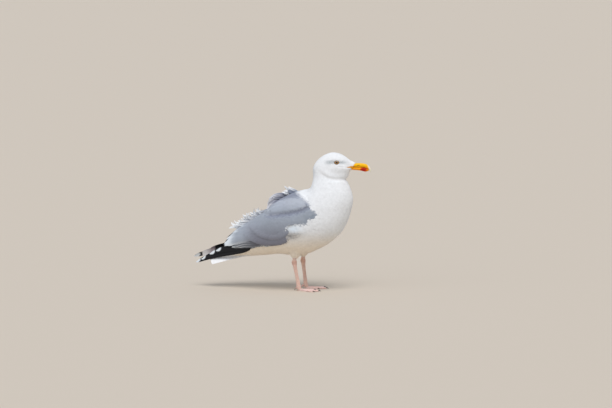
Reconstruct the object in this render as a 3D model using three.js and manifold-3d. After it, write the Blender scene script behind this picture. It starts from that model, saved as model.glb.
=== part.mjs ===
// Adult European herring gull in breeding plumage, standing still while the wind lifts the feathers
// of its back. Units are millimetres, +X is the way the body faces and +Z is up. The bird's right
// side is at -Y. The dimensions below are measured from the ground midway between the feet. The last
// lines move the whole bird so that the middle of its bounding box stands over the origin.
import * as THREE from "three";
import { LoftGeometry } from "three/addons/geometries/LoftGeometry.js";
import { mergeVertices } from "three/addons/utils/BufferGeometryUtils.js";
import Module from "manifold-3d";

const wasm = await Module();
wasm.setup();

// ---------------------------------------------------------------- driving dimensions
const GAP = 0.3; // left between parts that touch
const BODY_SIDES = 22; // corners round each ring of the body
const UNDERSIDE_SIDES = 12; // the same for the underside of the wings
const RINGS_PER_SPAN = 1; // rings from one body station to the next
const BODY_POWER = 2.15; // a ring is an ellipse at 2 and squarer above it

const HEAD_TURN = THREE.MathUtils.degToRad(8); // to the bird's left
const NECK_AXIS_X = 78; // the upright line that the head turns about
const NECK_CUT = { back: [27, 283], front: [139, 245] }; // [x, z] where the neck leaves the trunk
const HEAD_CUT = { back: [31, 320], front: [121, 297] }; // from the nape to the throat

const EYE = { x: 98, y: 17, z: 343, radius: 7 };

const FOOT_SPACING = 56; // between the middles of the two feet
const TOE_ROOT_Z = 9; // height at which the tarsus meets the toes
const WEB_THICK = 1.4;
const CLAW = { length: 7.5, root: 1.7 };
const HIND_TOE = { rootZ: 11.3, length: 10.5, clawSize: 0.8 }; // its claw's tip reaches the ground

const WING_THICK = 6; // the folded wing and the scapulars are layers of feathers this deep
const VENT_X = -172; // where the coverts under the tail end
const MANTLE_HALF = 20; // the strip of the back between the two scapular areas
const SIDE = new THREE.Vector3(0, 1, 0);

// Each body station is one ring. It runs from its point on the back line to its point on the breast
// line, both as [x, z]; `half` is its half-width, `widest` how far up the ring that is, and `turn`
// its share of the head's turn.
const HULL = [
  { back: [-236, 108], breast: [-232, 66], half: 20, widest: 0.45, turn: 0 }, // over the tail
  { back: [-206, 132], breast: [-200, 74], half: 30, widest: 0.5, turn: 0 },
  { back: [-172, 160], breast: [-165, 80], half: 41, widest: 0.52, turn: 0 },
  { back: [-138, 180], breast: [-130, 84.5], half: 51, widest: 0.54, turn: 0 }, // tertials over the vent
  { back: [-104, 204], breast: [-96, 90], half: 60, widest: 0.54, turn: 0 },
  { back: [-70, 232], breast: [-62, 94], half: 67, widest: 0.53, turn: 0 },
  { back: [-35, 253], breast: [-28, 92], half: 71.5, widest: 0.52, turn: 0 }, // deepest, over the thighs
  { back: [-5, 264], breast: [12, 96], half: 72, widest: 0.52, turn: 0 },
  { back: [11, 268.5], breast: [44, 109], half: 70, widest: 0.52, turn: 0 },
  { back: [20.5, 273], breast: [74, 126], half: 67, widest: 0.51, turn: 0 }, // breast
  { back: [26, 279], breast: [101, 149], half: 62, widest: 0.5, turn: 0 },
  { back: [30.6, 286.5], breast: [121, 180], half: 56, widest: 0.5, turn: 0.05 },
  { back: [32, 293.5], breast: [133, 212], half: 49, widest: 0.5, turn: 0.15 },
  { back: [32.4, 301], breast: [138, 244], half: 41.5, widest: 0.5, turn: 0.35 },
  { back: [32.4, 308], breast: [133, 268], half: 35.5, widest: 0.5, turn: 0.6 }, // neck
  { back: [32.2, 315], breast: [124.5, 286], half: 31, widest: 0.5, turn: 0.85 },
  { back: [32, 323], breast: [121, 296], half: 28.5, widest: 0.52, turn: 1 }, // nape to throat
  { back: [36, 334], breast: [122.5, 301], half: 27, widest: 0.54, turn: 1 },
  { back: [46, 347.5], breast: [124.5, 305], half: 26, widest: 0.5, turn: 1 }, // cheeks
  { back: [63, 360], breast: [126.5, 309], half: 25, widest: 0.45, turn: 1 },
  { back: [83, 366.6], breast: [128, 313], half: 23, widest: 0.38, turn: 1 }, // crown
  { back: [102, 364], breast: [129.5, 315.8], half: 19.5, widest: 0.34, turn: 1 },
  { back: [118, 355.5], breast: [131, 318.2], half: 15, widest: 0.34, turn: 1 }, // forehead
  { back: [131, 346.8], breast: [132.5, 320], half: 10.8, widest: 0.38, turn: 1 },
  { back: [142, 340.8], breast: [134.5, 321.5], half: 7.6, widest: 0.45, turn: 1 }, // root of the bill
];

// The trunk proper, under the folded wings and the feathers of the back. Its flesh fills them at the
// shoulders and narrows to the root of the tail behind, where they stand clear of it.
const CORE = [
  { back: [-168, 93], breast: [-168, 83], half: 14, widest: 0.5, turn: 0 },
  { back: [-145, 108], breast: [-143, 86], half: 20, widest: 0.5, turn: 0 },
  { back: [-115, 132], breast: [-110, 90], half: 30, widest: 0.5, turn: 0 }, // rump
  { back: [-85, 165], breast: [-80, 94], half: 42, widest: 0.5, turn: 0 },
  { back: [-52, 208], breast: [-48, 96], half: 54, widest: 0.5, turn: 0 },
  { back: [-15, 240], breast: [-12, 98], half: 64, widest: 0.5, turn: 0 },
  { back: [22, 250], breast: [25, 108], half: 62, widest: 0.5, turn: 0 },
  { back: [58, 236], breast: [60, 126], half: 50, widest: 0.5, turn: 0 },
  { back: [84, 198], breast: [84, 152], half: 24, widest: 0.5, turn: 0 },
];

// Side views of the areas that the wings and the scapulars cover, as [x, z].
const WING_OUTLINE = [
  [67, 214], [68, 202], [61, 190], [47, 183], [31, 179], [8, 178.5], [-12, 174], [-19, 163], [-17, 151],
  [-13, 141], [-24, 130], [-40, 122], [-58, 119.5], [-92, 117.5], [-128, 108], [-160, 106], [-190, 106],
  [-206, 108], [-219, 114], [-236, 124], [-214, 144], [-170, 178], [-128, 206], [-96, 222], [-84, 201],
  [-50, 203], [-8, 209], [20, 218], [40, 227], [55, 226],
]; // prettier-ignore
const SCAPULAR_OUTLINE = [
  [38, 234], [40, 227.6], [20, 218.6], [-8, 209.6], [-50, 203.6], [-84, 201.6], [-93, 210], [-84, 221],
  [-57, 241], [-30, 250.5], [-7, 254], [16, 254], [31, 246],
]; // prettier-ignore

// ---------------------------------------------------------------- helpers
/** Smooth value at t (0 to 1) through even station values: a Catmull-Rom cubic between neighbours. */
function through(values, t) {
  const place = t * (values.length - 1);
  const i = Math.min(Math.floor(place), values.length - 2);
  const f = place - i;
  const at = (k) => values[Math.min(Math.max(k, 0), values.length - 1)];
  const [a, b, c, d] = [at(i - 1), at(i), at(i + 1), at(i + 2)];
  return b + 0.5 * f * (c - a + f * (2 * a - 5 * b + 4 * c - d + f * (3 * (b - c) + d - a)));
}

/** A closed surface through rings of points, capped at both ends. */
function skinOver(rings) {
  return new LoftGeometry(rings, { closed: true, capStart: true, capEnd: true });
}

/** A ring round `centre`: half-width along `side`, and separate heights above and below along `up`. */
function ring({ centre, side, up, half, above, below, sides, power = 2 }) {
  const bulge = (value) => Math.sign(value) * Math.abs(value) ** (2 / power);
  return Array.from({ length: sides }, (_, i) => {
    const angle = (2 * Math.PI * i) / sides;
    const high = bulge(Math.sin(angle));
    return centre
      .clone()
      .addScaledVector(side, half * bulge(Math.cos(angle)))
      .addScaledVector(up, high * (high > 0 ? above : below));
  });
}

/** A copy of a closed geometry that holds only its shared corners and its triangles. */
function bareCopy(geometry) {
  const bare = new THREE.BufferGeometry().copy(geometry);
  bare.deleteAttribute("normal");
  bare.deleteAttribute("uv");
  return mergeVertices(bare, 1e-4);
}

/** A manifold-3d solid from a closed geometry. */
function solid(geometry) {
  const bare = bareCopy(geometry);
  return new wasm.Manifold(
    new wasm.Mesh({
      numProp: 3,
      vertProperties: bare.attributes.position.array,
      triVerts: new Uint32Array(bare.index.array),
    }),
  );
}

/** The geometry of a manifold-3d solid's largest body, so that a cut leaves no crumbs. */
function geometryOf(manifold) {
  const bodies = manifold.decompose();
  const mesh = bodies.reduce((best, body) => (body.volume() > best.volume() ? body : best)).getMesh();
  const positions = new Float32Array(mesh.numVert * 3);
  for (let i = 0; i < mesh.numVert; i++)
    positions.set(mesh.vertProperties.subarray(i * mesh.numProp, i * mesh.numProp + 3), i * 3);
  return new THREE.BufferGeometry()
    .setAttribute("position", new THREE.BufferAttribute(positions, 3))
    .setIndex(new THREE.BufferAttribute(mesh.triVerts, 1));
}

/** A solid with a list of other solids cut out of it. */
function without(from, cutters) {
  return cutters.reduce((left, cutter) => left.subtract(cutter), from);
}

/** The same geometry on the other side of the bird's middle plane, with its faces still pointing out. */
function mirrored(geometry) {
  const copy = bareCopy(geometry).scale(1, -1, 1);
  const index = copy.index.array;
  for (let i = 0; i < index.length; i += 3)
    [index[i + 1], index[i + 2]] = [index[i + 2], index[i + 1]];
  return copy;
}

/** A slab from y = low to y = high whose side view is a loop of [x, z] points, moved outwards by `grow`. */
function sideSlab(points, low, high, grow = 0) {
  const loop = points.map(([x, z], i) => {
    const before = points.at(i - 1);
    const after = points[(i + 1) % points.length];
    const out = new THREE.Vector2(before[1] - after[1], after[0] - before[0]).normalize();
    return new THREE.Vector2(x, z).addScaledVector(out, grow);
  });
  const depth = high - low;
  const slab = new THREE.ExtrudeGeometry(new THREE.Shape(loop), { depth, bevelEnabled: false });
  return slab.rotateX(Math.PI / 2).translate(0, high, 0); // the depth runs towards -Y
}

/** Everything on the far side of a plane seen edge-on from the side, from `back` to `front` as [x, z]. */
function aboveCut({ back, front }, shift = 0) {
  const along = new THREE.Vector3(front[0] - back[0], 0, front[1] - back[1]).normalize();
  const up = along.clone().cross(SIDE).normalize();
  const block = new THREE.BoxGeometry(900, 900, 900).translate(0, 0, 450 + shift);
  const turn = new THREE.Matrix4().makeBasis(along, SIDE, up).setPosition(back[0], 0, back[1]);
  return solid(block.applyMatrix4(turn));
}

/** Turns a point with the head, by a share of the whole turn, about the neck's upright axis. */
function turnedWithHead(point, share) {
  const angle = share * HEAD_TURN;
  const [dx, dy] = [point.x - NECK_AXIS_X, point.y];
  point.x = NECK_AXIS_X + dx * Math.cos(angle) - dy * Math.sin(angle);
  point.y = dx * Math.sin(angle) + dy * Math.cos(angle);
  return point;
}

/** The body's surface through its stations, moved outwards by `grow`. */
function bodyGeometry(stations, grow = 0, sides = BODY_SIDES) {
  const count = (stations.length - 1) * RINGS_PER_SPAN;
  const rings = Array.from({ length: count + 1 }, (_, i) => {
    const value = (pick) => through(stations.map(pick), i / count);
    const back = new THREE.Vector3(value((s) => s.back[0]), 0, value((s) => s.back[1]));
    const breast = new THREE.Vector3(value((s) => s.breast[0]), 0, value((s) => s.breast[1]));
    const height = back.distanceTo(breast);
    const up = back.clone().sub(breast).normalize();
    const widest = value((s) => s.widest);
    const turn = value((s) => s.turn);
    return ring({
      centre: breast.addScaledVector(up, height * widest),
      side: SIDE,
      up,
      half: value((s) => s.half) + grow,
      above: height * (1 - widest) + grow,
      below: height * widest + grow,
      sides,
      power: BODY_POWER,
    }).map((point) => turnedWithHead(point, turn));
  });
  return skinOver(rings);
}

/** A limb through stations { at: [x, y, z], wide, deep }: half-sizes along `side` and across it. */
function limb(stations, { side = SIDE, sides = 8, grow = 0 } = {}) {
  const points = stations.map((s) => new THREE.Vector3(...s.at));
  const last = points.length - 1;
  const rings = stations.map((s, i) => {
    const along = points[Math.min(i + 1, last)].clone().sub(points[Math.max(i - 1, 0)]).normalize();
    const up = along.clone().cross(side).normalize();
    return ring({
      centre: points[i],
      side: up.clone().cross(along),
      up,
      half: s.wide + grow,
      above: s.deep + grow,
      below: s.deep + grow,
      sides,
    });
  });
  return skinOver(rings);
}

/** One lifted feather: a thin leaf along a bent path of three points, widest past its middle. */
function vane({ path, side, width, thick = 1.6 }) {
  const curve = new THREE.QuadraticBezierCurve3(...path.map((p) => new THREE.Vector3(...p)));
  const across = new THREE.Vector3(...side).normalize();
  const stations = [0, 0.35, 0.7, 0.92, 1].map((t) => ({
    at: curve.getPoint(t).toArray(),
    wide: (width / 2) * (0.3 + 0.7 * Math.sin(Math.PI * (0.12 + 0.76 * t))),
    deep: (thick / 2) * (1.25 - 0.5 * t),
  }));
  return limb(stations, { side: across, sides: 6 });
}

/** A half of the bill through upright rings { x, top, bottom, half }, in the head's own heading. */
function mandible(stations, grow = 0) {
  return skinOver(
    stations.map(({ x, top, bottom, half }) =>
      ring({
        centre: new THREE.Vector3(x, 0, (top + bottom) / 2),
        side: SIDE,
        up: new THREE.Vector3(0, 0, 1),
        half: half + grow,
        above: (top - bottom) / 2 + grow,
        below: (top - bottom) / 2 + grow,
        sides: 12,
        power: 2.3,
      }),
    ),
  );
}

// ---------------------------------------------------------------- materials
const plumage = (color) => new THREE.MeshStandardMaterial({ color, roughness: 0.85, metalness: 0 });
const WHITE_FEATHER = plumage(0xf1f0ee);
const GREY_FEATHER = plumage(0xa3a9b5);
const BLACK_FEATHER = plumage(0x1b1b1e);
const BILL_YELLOW = new THREE.MeshStandardMaterial({ color: 0xf2b01e, roughness: 0.4, metalness: 0 });
const EYE_DARK = new THREE.MeshStandardMaterial({ color: 0x2a2218, roughness: 0.05, metalness: 0 });
const LEG_PINK = new THREE.MeshStandardMaterial({ color: 0xd8a595, roughness: 0.6, metalness: 0 });
const CLAW_BLACK = new THREE.MeshStandardMaterial({ color: 0x26211e, roughness: 0.35, metalness: 0 });

const bird = new THREE.Group();

/** Adds one named part to the bird, or to the group given. */
function addPart(name, geometry, material, group = bird) {
  const mesh = new THREE.Mesh(geometry, material);
  mesh.name = name;
  group.add(mesh);
  return mesh;
}

// The head's own heading: what is made in it is turned with the head.
const headTurning = new THREE.Matrix4()
  .makeTranslation(NECK_AXIS_X, 0, 0)
  .multiply(new THREE.Matrix4().makeRotationZ(HEAD_TURN))
  .multiply(new THREE.Matrix4().makeTranslation(-NECK_AXIS_X, 0, 0));
const withHead = (geometry) => geometry.applyMatrix4(headTurning);

// ---------------------------------------------------------------- bill
const UPPER_MANDIBLE = [
  { x: 117, top: 335, bottom: 329, half: 8 },
  { x: 124, top: 338, bottom: 328.9, half: 9 },
  { x: 134, top: 339.8, bottom: 328.8, half: 7.9 },
  { x: 145, top: 340.3, bottom: 328.8, half: 6.7 },
  { x: 157, top: 340, bottom: 328.8, half: 5.8 },
  { x: 167, top: 338.6, bottom: 328, half: 5.2 },
  { x: 174.5, top: 336.1, bottom: 325.6, half: 4.6 },
  { x: 180, top: 332.4, bottom: 322.4, half: 3.8 },
  { x: 183.4, top: 327.6, bottom: 319.7, half: 2.7 },
  { x: 184.8, top: 322.8, bottom: 318.2, half: 1.5 }, // the hook's point
];
const LOWER_MANDIBLE = [
  { x: 119, top: 328.3, bottom: 324.5, half: 7 },
  { x: 127, top: 328.2, bottom: 322.6, half: 7.7 },
  { x: 136, top: 328.2, bottom: 321.4, half: 7 },
  { x: 147, top: 328.2, bottom: 320.8, half: 6 },
  { x: 158, top: 328.2, bottom: 320, half: 5.2 },
  { x: 166, top: 327.6, bottom: 318.8, half: 4.8 },
  { x: 171, top: 326.4, bottom: 317.8, half: 4.5 }, // gonys
  { x: 175.5, top: 324.4, bottom: 318.4, half: 3.8 },
  { x: 179.5, top: 321.6, bottom: 319.2, half: 2.2 },
];
const lowerSolid = solid(withHead(mandible(LOWER_MANDIBLE)));
const upperSolid = solid(withHead(mandible(UPPER_MANDIBLE))).subtract(
  solid(withHead(mandible(LOWER_MANDIBLE, GAP))),
);
addPart("bill_upper", geometryOf(upperSolid), BILL_YELLOW);
addPart("bill_lower", geometryOf(lowerSolid), BILL_YELLOW);

// ---------------------------------------------------------------- eyes
const eyeball = (side, grow) =>
  withHead(new THREE.SphereGeometry(EYE.radius + grow, 10, 8).translate(EYE.x, side * EYE.y, EYE.z));
addPart("eye_right", eyeball(-1, 0), EYE_DARK);
addPart("eye_left", eyeball(1, 0), EYE_DARK);

// ---------------------------------------------------------------- legs and feet
// Each leg: the x of its ankle and of its foot's root, and its middle toe's heading, towards the bird's left.
const LEGS = [
  { name: "right", side: -1, ankleX: -13, footX: -0.5, heading: 0 },
  { name: "left", side: 1, ankleX: -7, footX: 0.5, heading: THREE.MathUtils.degToRad(8) },
];

/** The bare leg: from inside the feathered thigh, over the ankle and down the tarsus. */
function shankGeometry({ side, ankleX, footX }, grow = 0) {
  const y = (side * FOOT_SPACING) / 2;
  const onTarsus = (share) => ankleX + (footX - ankleX) * share;
  return limb(
    [
      { at: [ankleX + 3, y, 108], wide: 4, deep: 5 },
      { at: [ankleX + 1.2, y, 92], wide: 3.6, deep: 4.8 },
      { at: [ankleX + 0.4, y, 83], wide: 3.4, deep: 4.8 },
      { at: [ankleX - 0.2, y, 77], wide: 4.2, deep: 6.1 },
      { at: [ankleX, y, 72], wide: 4.4, deep: 6.3 }, // ankle
      { at: [onTarsus(0.12), y, 65], wide: 3.2, deep: 4.8 },
      { at: [onTarsus(0.4), y, 48], wide: 2.7, deep: 4 },
      { at: [onTarsus(0.7), y, 30], wide: 2.7, deep: 4.1 },
      { at: [onTarsus(0.9), y, 17], wide: 3.2, deep: 4.9 },
      { at: [onTarsus(1), y, TOE_ROOT_Z], wide: 4.2, deep: 6 },
    ],
    { sides: 8, grow },
  );
}

/** The feathered thigh, which hangs a little below the belly. */
function thighGeometry({ side, ankleX }, grow = 0) {
  const y = (side * FOOT_SPACING) / 2;
  return limb(
    [
      { at: [ankleX + 4, y + side * 4, 132], wide: 19, deep: 29 },
      { at: [ankleX + 4, y + side * 3, 116], wide: 20, deep: 26.5 },
      { at: [ankleX + 3, y + side * 2, 104], wide: 17, deep: 20.5 },
      { at: [ankleX + 2, y + side, 95.5], wide: 12, deep: 14.5 },
      { at: [ankleX + 1.5, y + side * 0.3, 90], wide: 7.5, deep: 9 },
      { at: [ankleX + 1.2, y, 87.5], wide: 4.9, deep: 6.2 },
    ],
    { sides: 12, grow },
  );
}

// Each front toe: its angle from the middle toe towards the bird's outer side, and its length
// without the claw.
const TOES = [
  { name: "inner", angle: THREE.MathUtils.degToRad(-25), length: 42 },
  { name: "middle", angle: 0, length: 57 },
  { name: "outer", angle: THREE.MathUtils.degToRad(22), length: 52 },
];

// Along each front toe: the share of its length, its half-width and its height.
const TOE_STATIONS = [
  { share: -0.07, wide: 4.4, tall: 8.2 },
  { share: 0.04, wide: 4.4, tall: 8.2 },
  { share: 0.16, wide: 3, tall: 6.4 },
  { share: 0.6, wide: 2.6, tall: 5.2 },
  { share: 0.93, wide: 2.4, tall: 4.6 },
  { share: 1, wide: 1.6, tall: 3.4 },
];

const ground = solid(new THREE.BoxGeometry(200, 200, 20).translate(0, 0, -10));

/** The level direction that a toe points in. */
function toeHeading({ side, heading }, { angle }) {
  const turn = heading + side * angle;
  return new THREE.Vector3(Math.cos(turn), Math.sin(turn), 0);
}

/** One webbed foot: three toes on a flat sole, with webs between them. */
function footGeometry(leg) {
  const root = new THREE.Vector3(leg.footX, (leg.side * FOOT_SPACING) / 2, 0);
  const tip = (toe, share = 1) => root.clone().addScaledVector(toeHeading(leg, toe), toe.length * share);
  const [inner, middle, outer] = TOES.map((toe) => tip(toe, 0.93));
  const betweenTips = (a, b) => a.clone().lerp(b, 0.5).lerp(root, 0.2);
  const web = new THREE.Shape().moveTo(root.x - 3, root.y);
  web.lineTo(inner.x, inner.y);
  for (const [from, to] of [[inner, middle], [middle, outer]]) {
    const control = betweenTips(from, to);
    web.quadraticCurveTo(control.x, control.y, to.x, to.y);
  }
  web.closePath();
  const webOptions = { depth: WEB_THICK, bevelEnabled: false, curveSegments: 4 };
  let foot = solid(new THREE.ExtrudeGeometry(web, webOptions));
  for (const toe of TOES) {
    const rings = TOE_STATIONS.map(({ share, wide, tall }) => ({
      at: tip(toe, share).setZ(tall / 2 - 0.5).toArray(),
      wide,
      deep: tall / 2,
    }));
    const across = new THREE.Vector3(0, 0, 1).cross(toeHeading(leg, toe));
    foot = foot.add(solid(limb(rings, { side: across, sides: 6 })));
  }
  const aboveToes = new THREE.BoxGeometry(60, 60, 20).translate(root.x, root.y, TOE_ROOT_Z - GAP + 10);
  return geometryOf(foot.subtract(ground).subtract(solid(aboveToes)));
}

/** A claw: a short curved cone from a toe's end. */
function clawGeometry(at, heading, size = 1) {
  const across = new THREE.Vector3(0, 0, 1).cross(heading).normalize();
  const { length, root } = CLAW;
  const upward = new THREE.Vector3(0, 0, 1);
  const bend = [
    { out: 0, rise: 0, share: 1 },
    { out: 0.45, rise: 0.04, share: 0.8 },
    { out: 1, rise: -0.24, share: 0.18 },
  ];
  const stations = bend.map(({ out, rise, share }) => {
    const centre = at.clone().addScaledVector(heading, size * length * out);
    centre.addScaledVector(upward, size * length * rise);
    return { at: centre.toArray(), wide: size * root * share * 0.8, deep: size * root * share };
  });
  return limb(stations, { side: across, sides: 5 });
}

for (const leg of LEGS) {
  const { name, side, footX } = leg;
  const root = new THREE.Vector3(footX, (side * FOOT_SPACING) / 2, 0);
  const hindHeading = new THREE.Vector3(-0.72, -0.3 * side, -0.62).normalize();
  const hindRoot = root.clone().add(new THREE.Vector3(-3, -1.5 * side, HIND_TOE.rootZ));
  const hindToe = limb(
    [0, 0.6, 1].map((share, i) => ({
      at: hindRoot.clone().addScaledVector(hindHeading, share * HIND_TOE.length).toArray(),
      wide: [2.2, 1.8, 1.1][i],
      deep: [2.6, 1.9, 1.2][i],
    })),
    { sides: 6 },
  );
  const shank = solid(shankGeometry(leg)).add(solid(hindToe));
  const thigh = solid(thighGeometry(leg)).subtract(solid(shankGeometry(leg, GAP)));
  addPart(`shank_${name}`, geometryOf(shank), LEG_PINK);
  addPart(`thigh_${name}`, geometryOf(thigh), WHITE_FEATHER);
  addPart(`foot_${name}`, footGeometry(leg), LEG_PINK);
  for (const toe of TOES) {
    const heading = toeHeading(leg, toe);
    const at = root.clone().addScaledVector(heading, toe.length + GAP).setZ(2.4);
    addPart(`claw_${toe.name}_${name}`, clawGeometry(at, heading), CLAW_BLACK);
  }
  const clawRoot = hindRoot.clone().addScaledVector(hindHeading, HIND_TOE.length + GAP);
  const hindClaw = solid(clawGeometry(clawRoot, hindHeading, HIND_TOE.clawSize));
  addPart(`claw_hind_${name}`, geometryOf(hindClaw.subtract(ground)), CLAW_BLACK);
}

// ---------------------------------------------------------------- wing tips, tail and trunk
// The folded primaries, from the wing's rear edge to the tip: each station's distance from the middle
// plane, its heights on the right and on the left, and its half-sizes. The left wing's tip rides
// above the right one's.
const PRIMARIES = [
  { x: -112, out: 50, z: { right: 111, left: 111 }, wide: 2.4, deep: 5 },
  { x: -150, out: 41, z: { right: 106.5, left: 108 }, wide: 4.2, deep: 9 },
  { x: -190, out: 31, z: { right: 102, left: 107 }, wide: 5.2, deep: 11.5 },
  { x: -226, out: 22, z: { right: 95, left: 104 }, wide: 5.2, deep: 11.5 },
  { x: -258, out: 14, z: { right: 85.5, left: 98 }, wide: 4.2, deep: 9.2 },
  { x: -280, out: 9, z: { right: 76.5, left: 91 }, wide: 3, deep: 6.8 },
  { x: -294, out: 7, z: { right: 70, left: 86.5 }, wide: 1.8, deep: 4.6 },
];
const LEFT_TIP = { x: -306, out: 6, z: { left: 82.5 }, wide: 1.1, deep: 3 };

/** The folded primaries of one wing: a blade that narrows to the tip, above the tail. */
function wingtipGeometry(name, grow = 0) {
  const sign = name === "right" ? -1 : 1;
  const stations = name === "right" ? PRIMARIES : [...PRIMARIES, LEFT_TIP];
  return limb(
    stations.map(({ x, out, z, wide, deep }) => ({ at: [x, sign * out, z[name]], wide, deep })),
    { side: new THREE.Vector3(0, -1, 0), sides: 10, grow },
  );
}

/** The folded tail: a flat fan, a little rounded across the back. */
function tailGeometry(grow = 0) {
  return limb(
    [
      { at: [-120, 0, 101], wide: 18, deep: 4 },
      { at: [-160, 0, 91.5], wide: 21, deep: 4.8 },
      { at: [-200, 0, 80.5], wide: 25, deep: 5.2 },
      { at: [-230, 0, 71], wide: 29, deep: 4.2 },
      { at: [-248, 0, 64], wide: 27, deep: 2.8 },
      { at: [-257, 0, 60.5], wide: 16, deep: 1.6 },
    ],
    { sides: 14, grow },
  );
}

const FAR = 110; // past the widest part of the body
const hull = solid(bodyGeometry(HULL));
const core = solid(bodyGeometry(CORE));
const coreGrown = solid(bodyGeometry(CORE, GAP));
const underWing = solid(bodyGeometry(HULL, -WING_THICK, UNDERSIDE_SIDES));
const tailGrown = solid(tailGeometry(GAP));
const scapularRoom = sideSlab(SCAPULAR_OUTLINE, -FAR, -MANTLE_HALF, GAP);
const wingtips = ["right", "left"].map((name) => solid(wingtipGeometry(name, GAP)));
const onSide = { right: (geometry) => solid(geometry), left: (geometry) => solid(mirrored(geometry)) };
for (const [name, place] of Object.entries(onSide)) {
  const wing = hull.intersect(place(sideSlab(WING_OUTLINE, -FAR, -GAP)));
  const room = [underWing, coreGrown, tailGrown, place(scapularRoom), ...wingtips];
  addPart(`wing_${name}`, geometryOf(without(wing, room)), GREY_FEATHER);
  addPart(`wingtip_${name}`, wingtipGeometry(name), BLACK_FEATHER);
  const scapulars = hull.intersect(place(sideSlab(SCAPULAR_OUTLINE, -FAR, -MANTLE_HALF - GAP)));
  addPart(`scapulars_${name}`, geometryOf(without(scapulars, [underWing, coreGrown])), GREY_FEATHER);
}

addPart("tail", geometryOf(solid(tailGeometry()).subtract(coreGrown)), WHITE_FEATHER);

const flesh = without(hull, [
  solid(sideSlab(WING_OUTLINE, -FAR, FAR, GAP)),
  solid(scapularRoom),
  solid(mirrored(scapularRoom)),
]);
const behindVent = new THREE.BoxGeometry(200, 200, 200).translate(VENT_X - 100, 0, 100);
const neckAndHead = aboveCut(NECK_CUT, GAP);
const headOnly = aboveCut(HEAD_CUT, GAP);
const trunk = without(flesh.add(core), [
  solid(behindVent),
  tailGrown,
  ...wingtips,
  ...LEGS.map((leg) => solid(thighGeometry(leg, GAP))),
  ...LEGS.map((leg) => solid(shankGeometry(leg, GAP))),
  aboveCut(NECK_CUT),
]);
addPart("trunk", geometryOf(trunk), WHITE_FEATHER);
addPart("neck", geometryOf(hull.intersect(neckAndHead).subtract(aboveCut(HEAD_CUT))), WHITE_FEATHER);
const head = without(hull.intersect(headOnly), [
  solid(withHead(mandible(UPPER_MANDIBLE, GAP))),
  solid(withHead(mandible(LOWER_MANDIBLE, GAP))),
  solid(eyeball(-1, GAP)),
  solid(eyeball(1, GAP)),
]);
addPart("head", geometryOf(head), WHITE_FEATHER);

// ---------------------------------------------------------------- feathers that the wind lifts off the back
// Each feather is a path [root, bend, tip] of points [x, y, z] and a width.
const NAPE_TUFT = [
  { path: [[-6, -8, 257], [-32, -6, 262], [-49, -4, 273]], width: 9 },
  { path: [[-12, 2, 256], [-34, 4, 262], [-46, 6, 268]], width: 12 },
  { path: [[-14, -14, 253], [-34, -15, 257], [-47, -15, 262]], width: 13 },
];
const BACK_WAVE = [
  { path: [[-22, 12, 250], [-58, 13, 262], [-80, 14, 248]], width: 28 },
  { path: [[-26, 0, 250], [-66, 0, 260], [-87, 0, 241]], width: 28 },
  { path: [[-32, -12.5, 246], [-68, -14, 257.5], [-88, -15, 235]], width: 27 },
  { path: [[-42, 7, 240], [-80, 8, 252], [-93, 8, 224]], width: 28 },
  { path: [[-48, -9, 236], [-80, -12, 249], [-94, -13, 216]], width: 28 },
];
const TERTIAL_FRINGE = [
  { path: [[-78, -12, 216], [-102, -15, 205], [-121, -16, 209]], width: 15 },
  { path: [[-84, -4, 212], [-114, -8, 198], [-141, -9, 206]], width: 16 },
  { path: [[-86, 13, 208], [-118, 15, 197], [-150, 15, 199]], width: 18 },
  { path: [[-90, 2, 207], [-126, 0, 190], [-160, -2, 194]], width: 16 },
  { path: [[-93, -9, 206], [-136, -11, 186], [-177, -9, 178]], width: 17 },
  { path: [[-98, 4, 202], [-148, 3, 176], [-197, 0, 166]], width: 16 },
];
const hullGrown = solid(bodyGeometry(HULL, GAP));
const lifted = { nape_tuft: NAPE_TUFT, back_wave: BACK_WAVE, tertial_fringe: TERTIAL_FRINGE };
for (const [name, feathers] of Object.entries(lifted)) {
  const vanes = feathers.map(({ path, width }, i) => {
    const side = [0, 0.8, 0.5 + 0.07 * i]; // each feather leans a little more than the one before it
    return solid(vane({ path, width, side }));
  });
  // The roots grow from one low fold, which runs from feather to feather.
  const fold = feathers
    .map(({ path }) => new THREE.Vector3(...path[0]).lerp(new THREE.Vector3(...path[1]), 0.3))
    .sort((a, b) => a.y - b.y)
    .map((at) => ({ at: at.toArray(), wide: 6, deep: 2.5 }));
  const foldSolid = solid(limb(fold, { side: new THREE.Vector3(1, 0, 0), sides: 6 }));
  const joined = vanes.reduce((left, right) => left.add(right), foldSolid);
  addPart(name, geometryOf(joined.subtract(hullGrown)), GREY_FEATHER);
}

// ---------------------------------------------------------------- placing
// The soles are at height 0 already, so only the middle of the box moves.
const box = new THREE.Box3().setFromObject(bird);
const middle = box.getCenter(new THREE.Vector3());
bird.position.set(-middle.x, -middle.y, 0);

export default bird;
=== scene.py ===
# %% [markdown]
# # A herring gull, feather by feather
# The gull stands still in the wind. Its solid model gives the true outline. Here the outline gets
# one smooth skin, and the skin gets a coat: thousands of small vanes that lie like roof tiles, long
# quills in the wings and tail, and the few feathers of the back that the wind has lifted.

import bpy
import numpy as np
from mathutils import Matrix
from mathutils.kdtree import KDTree


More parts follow.
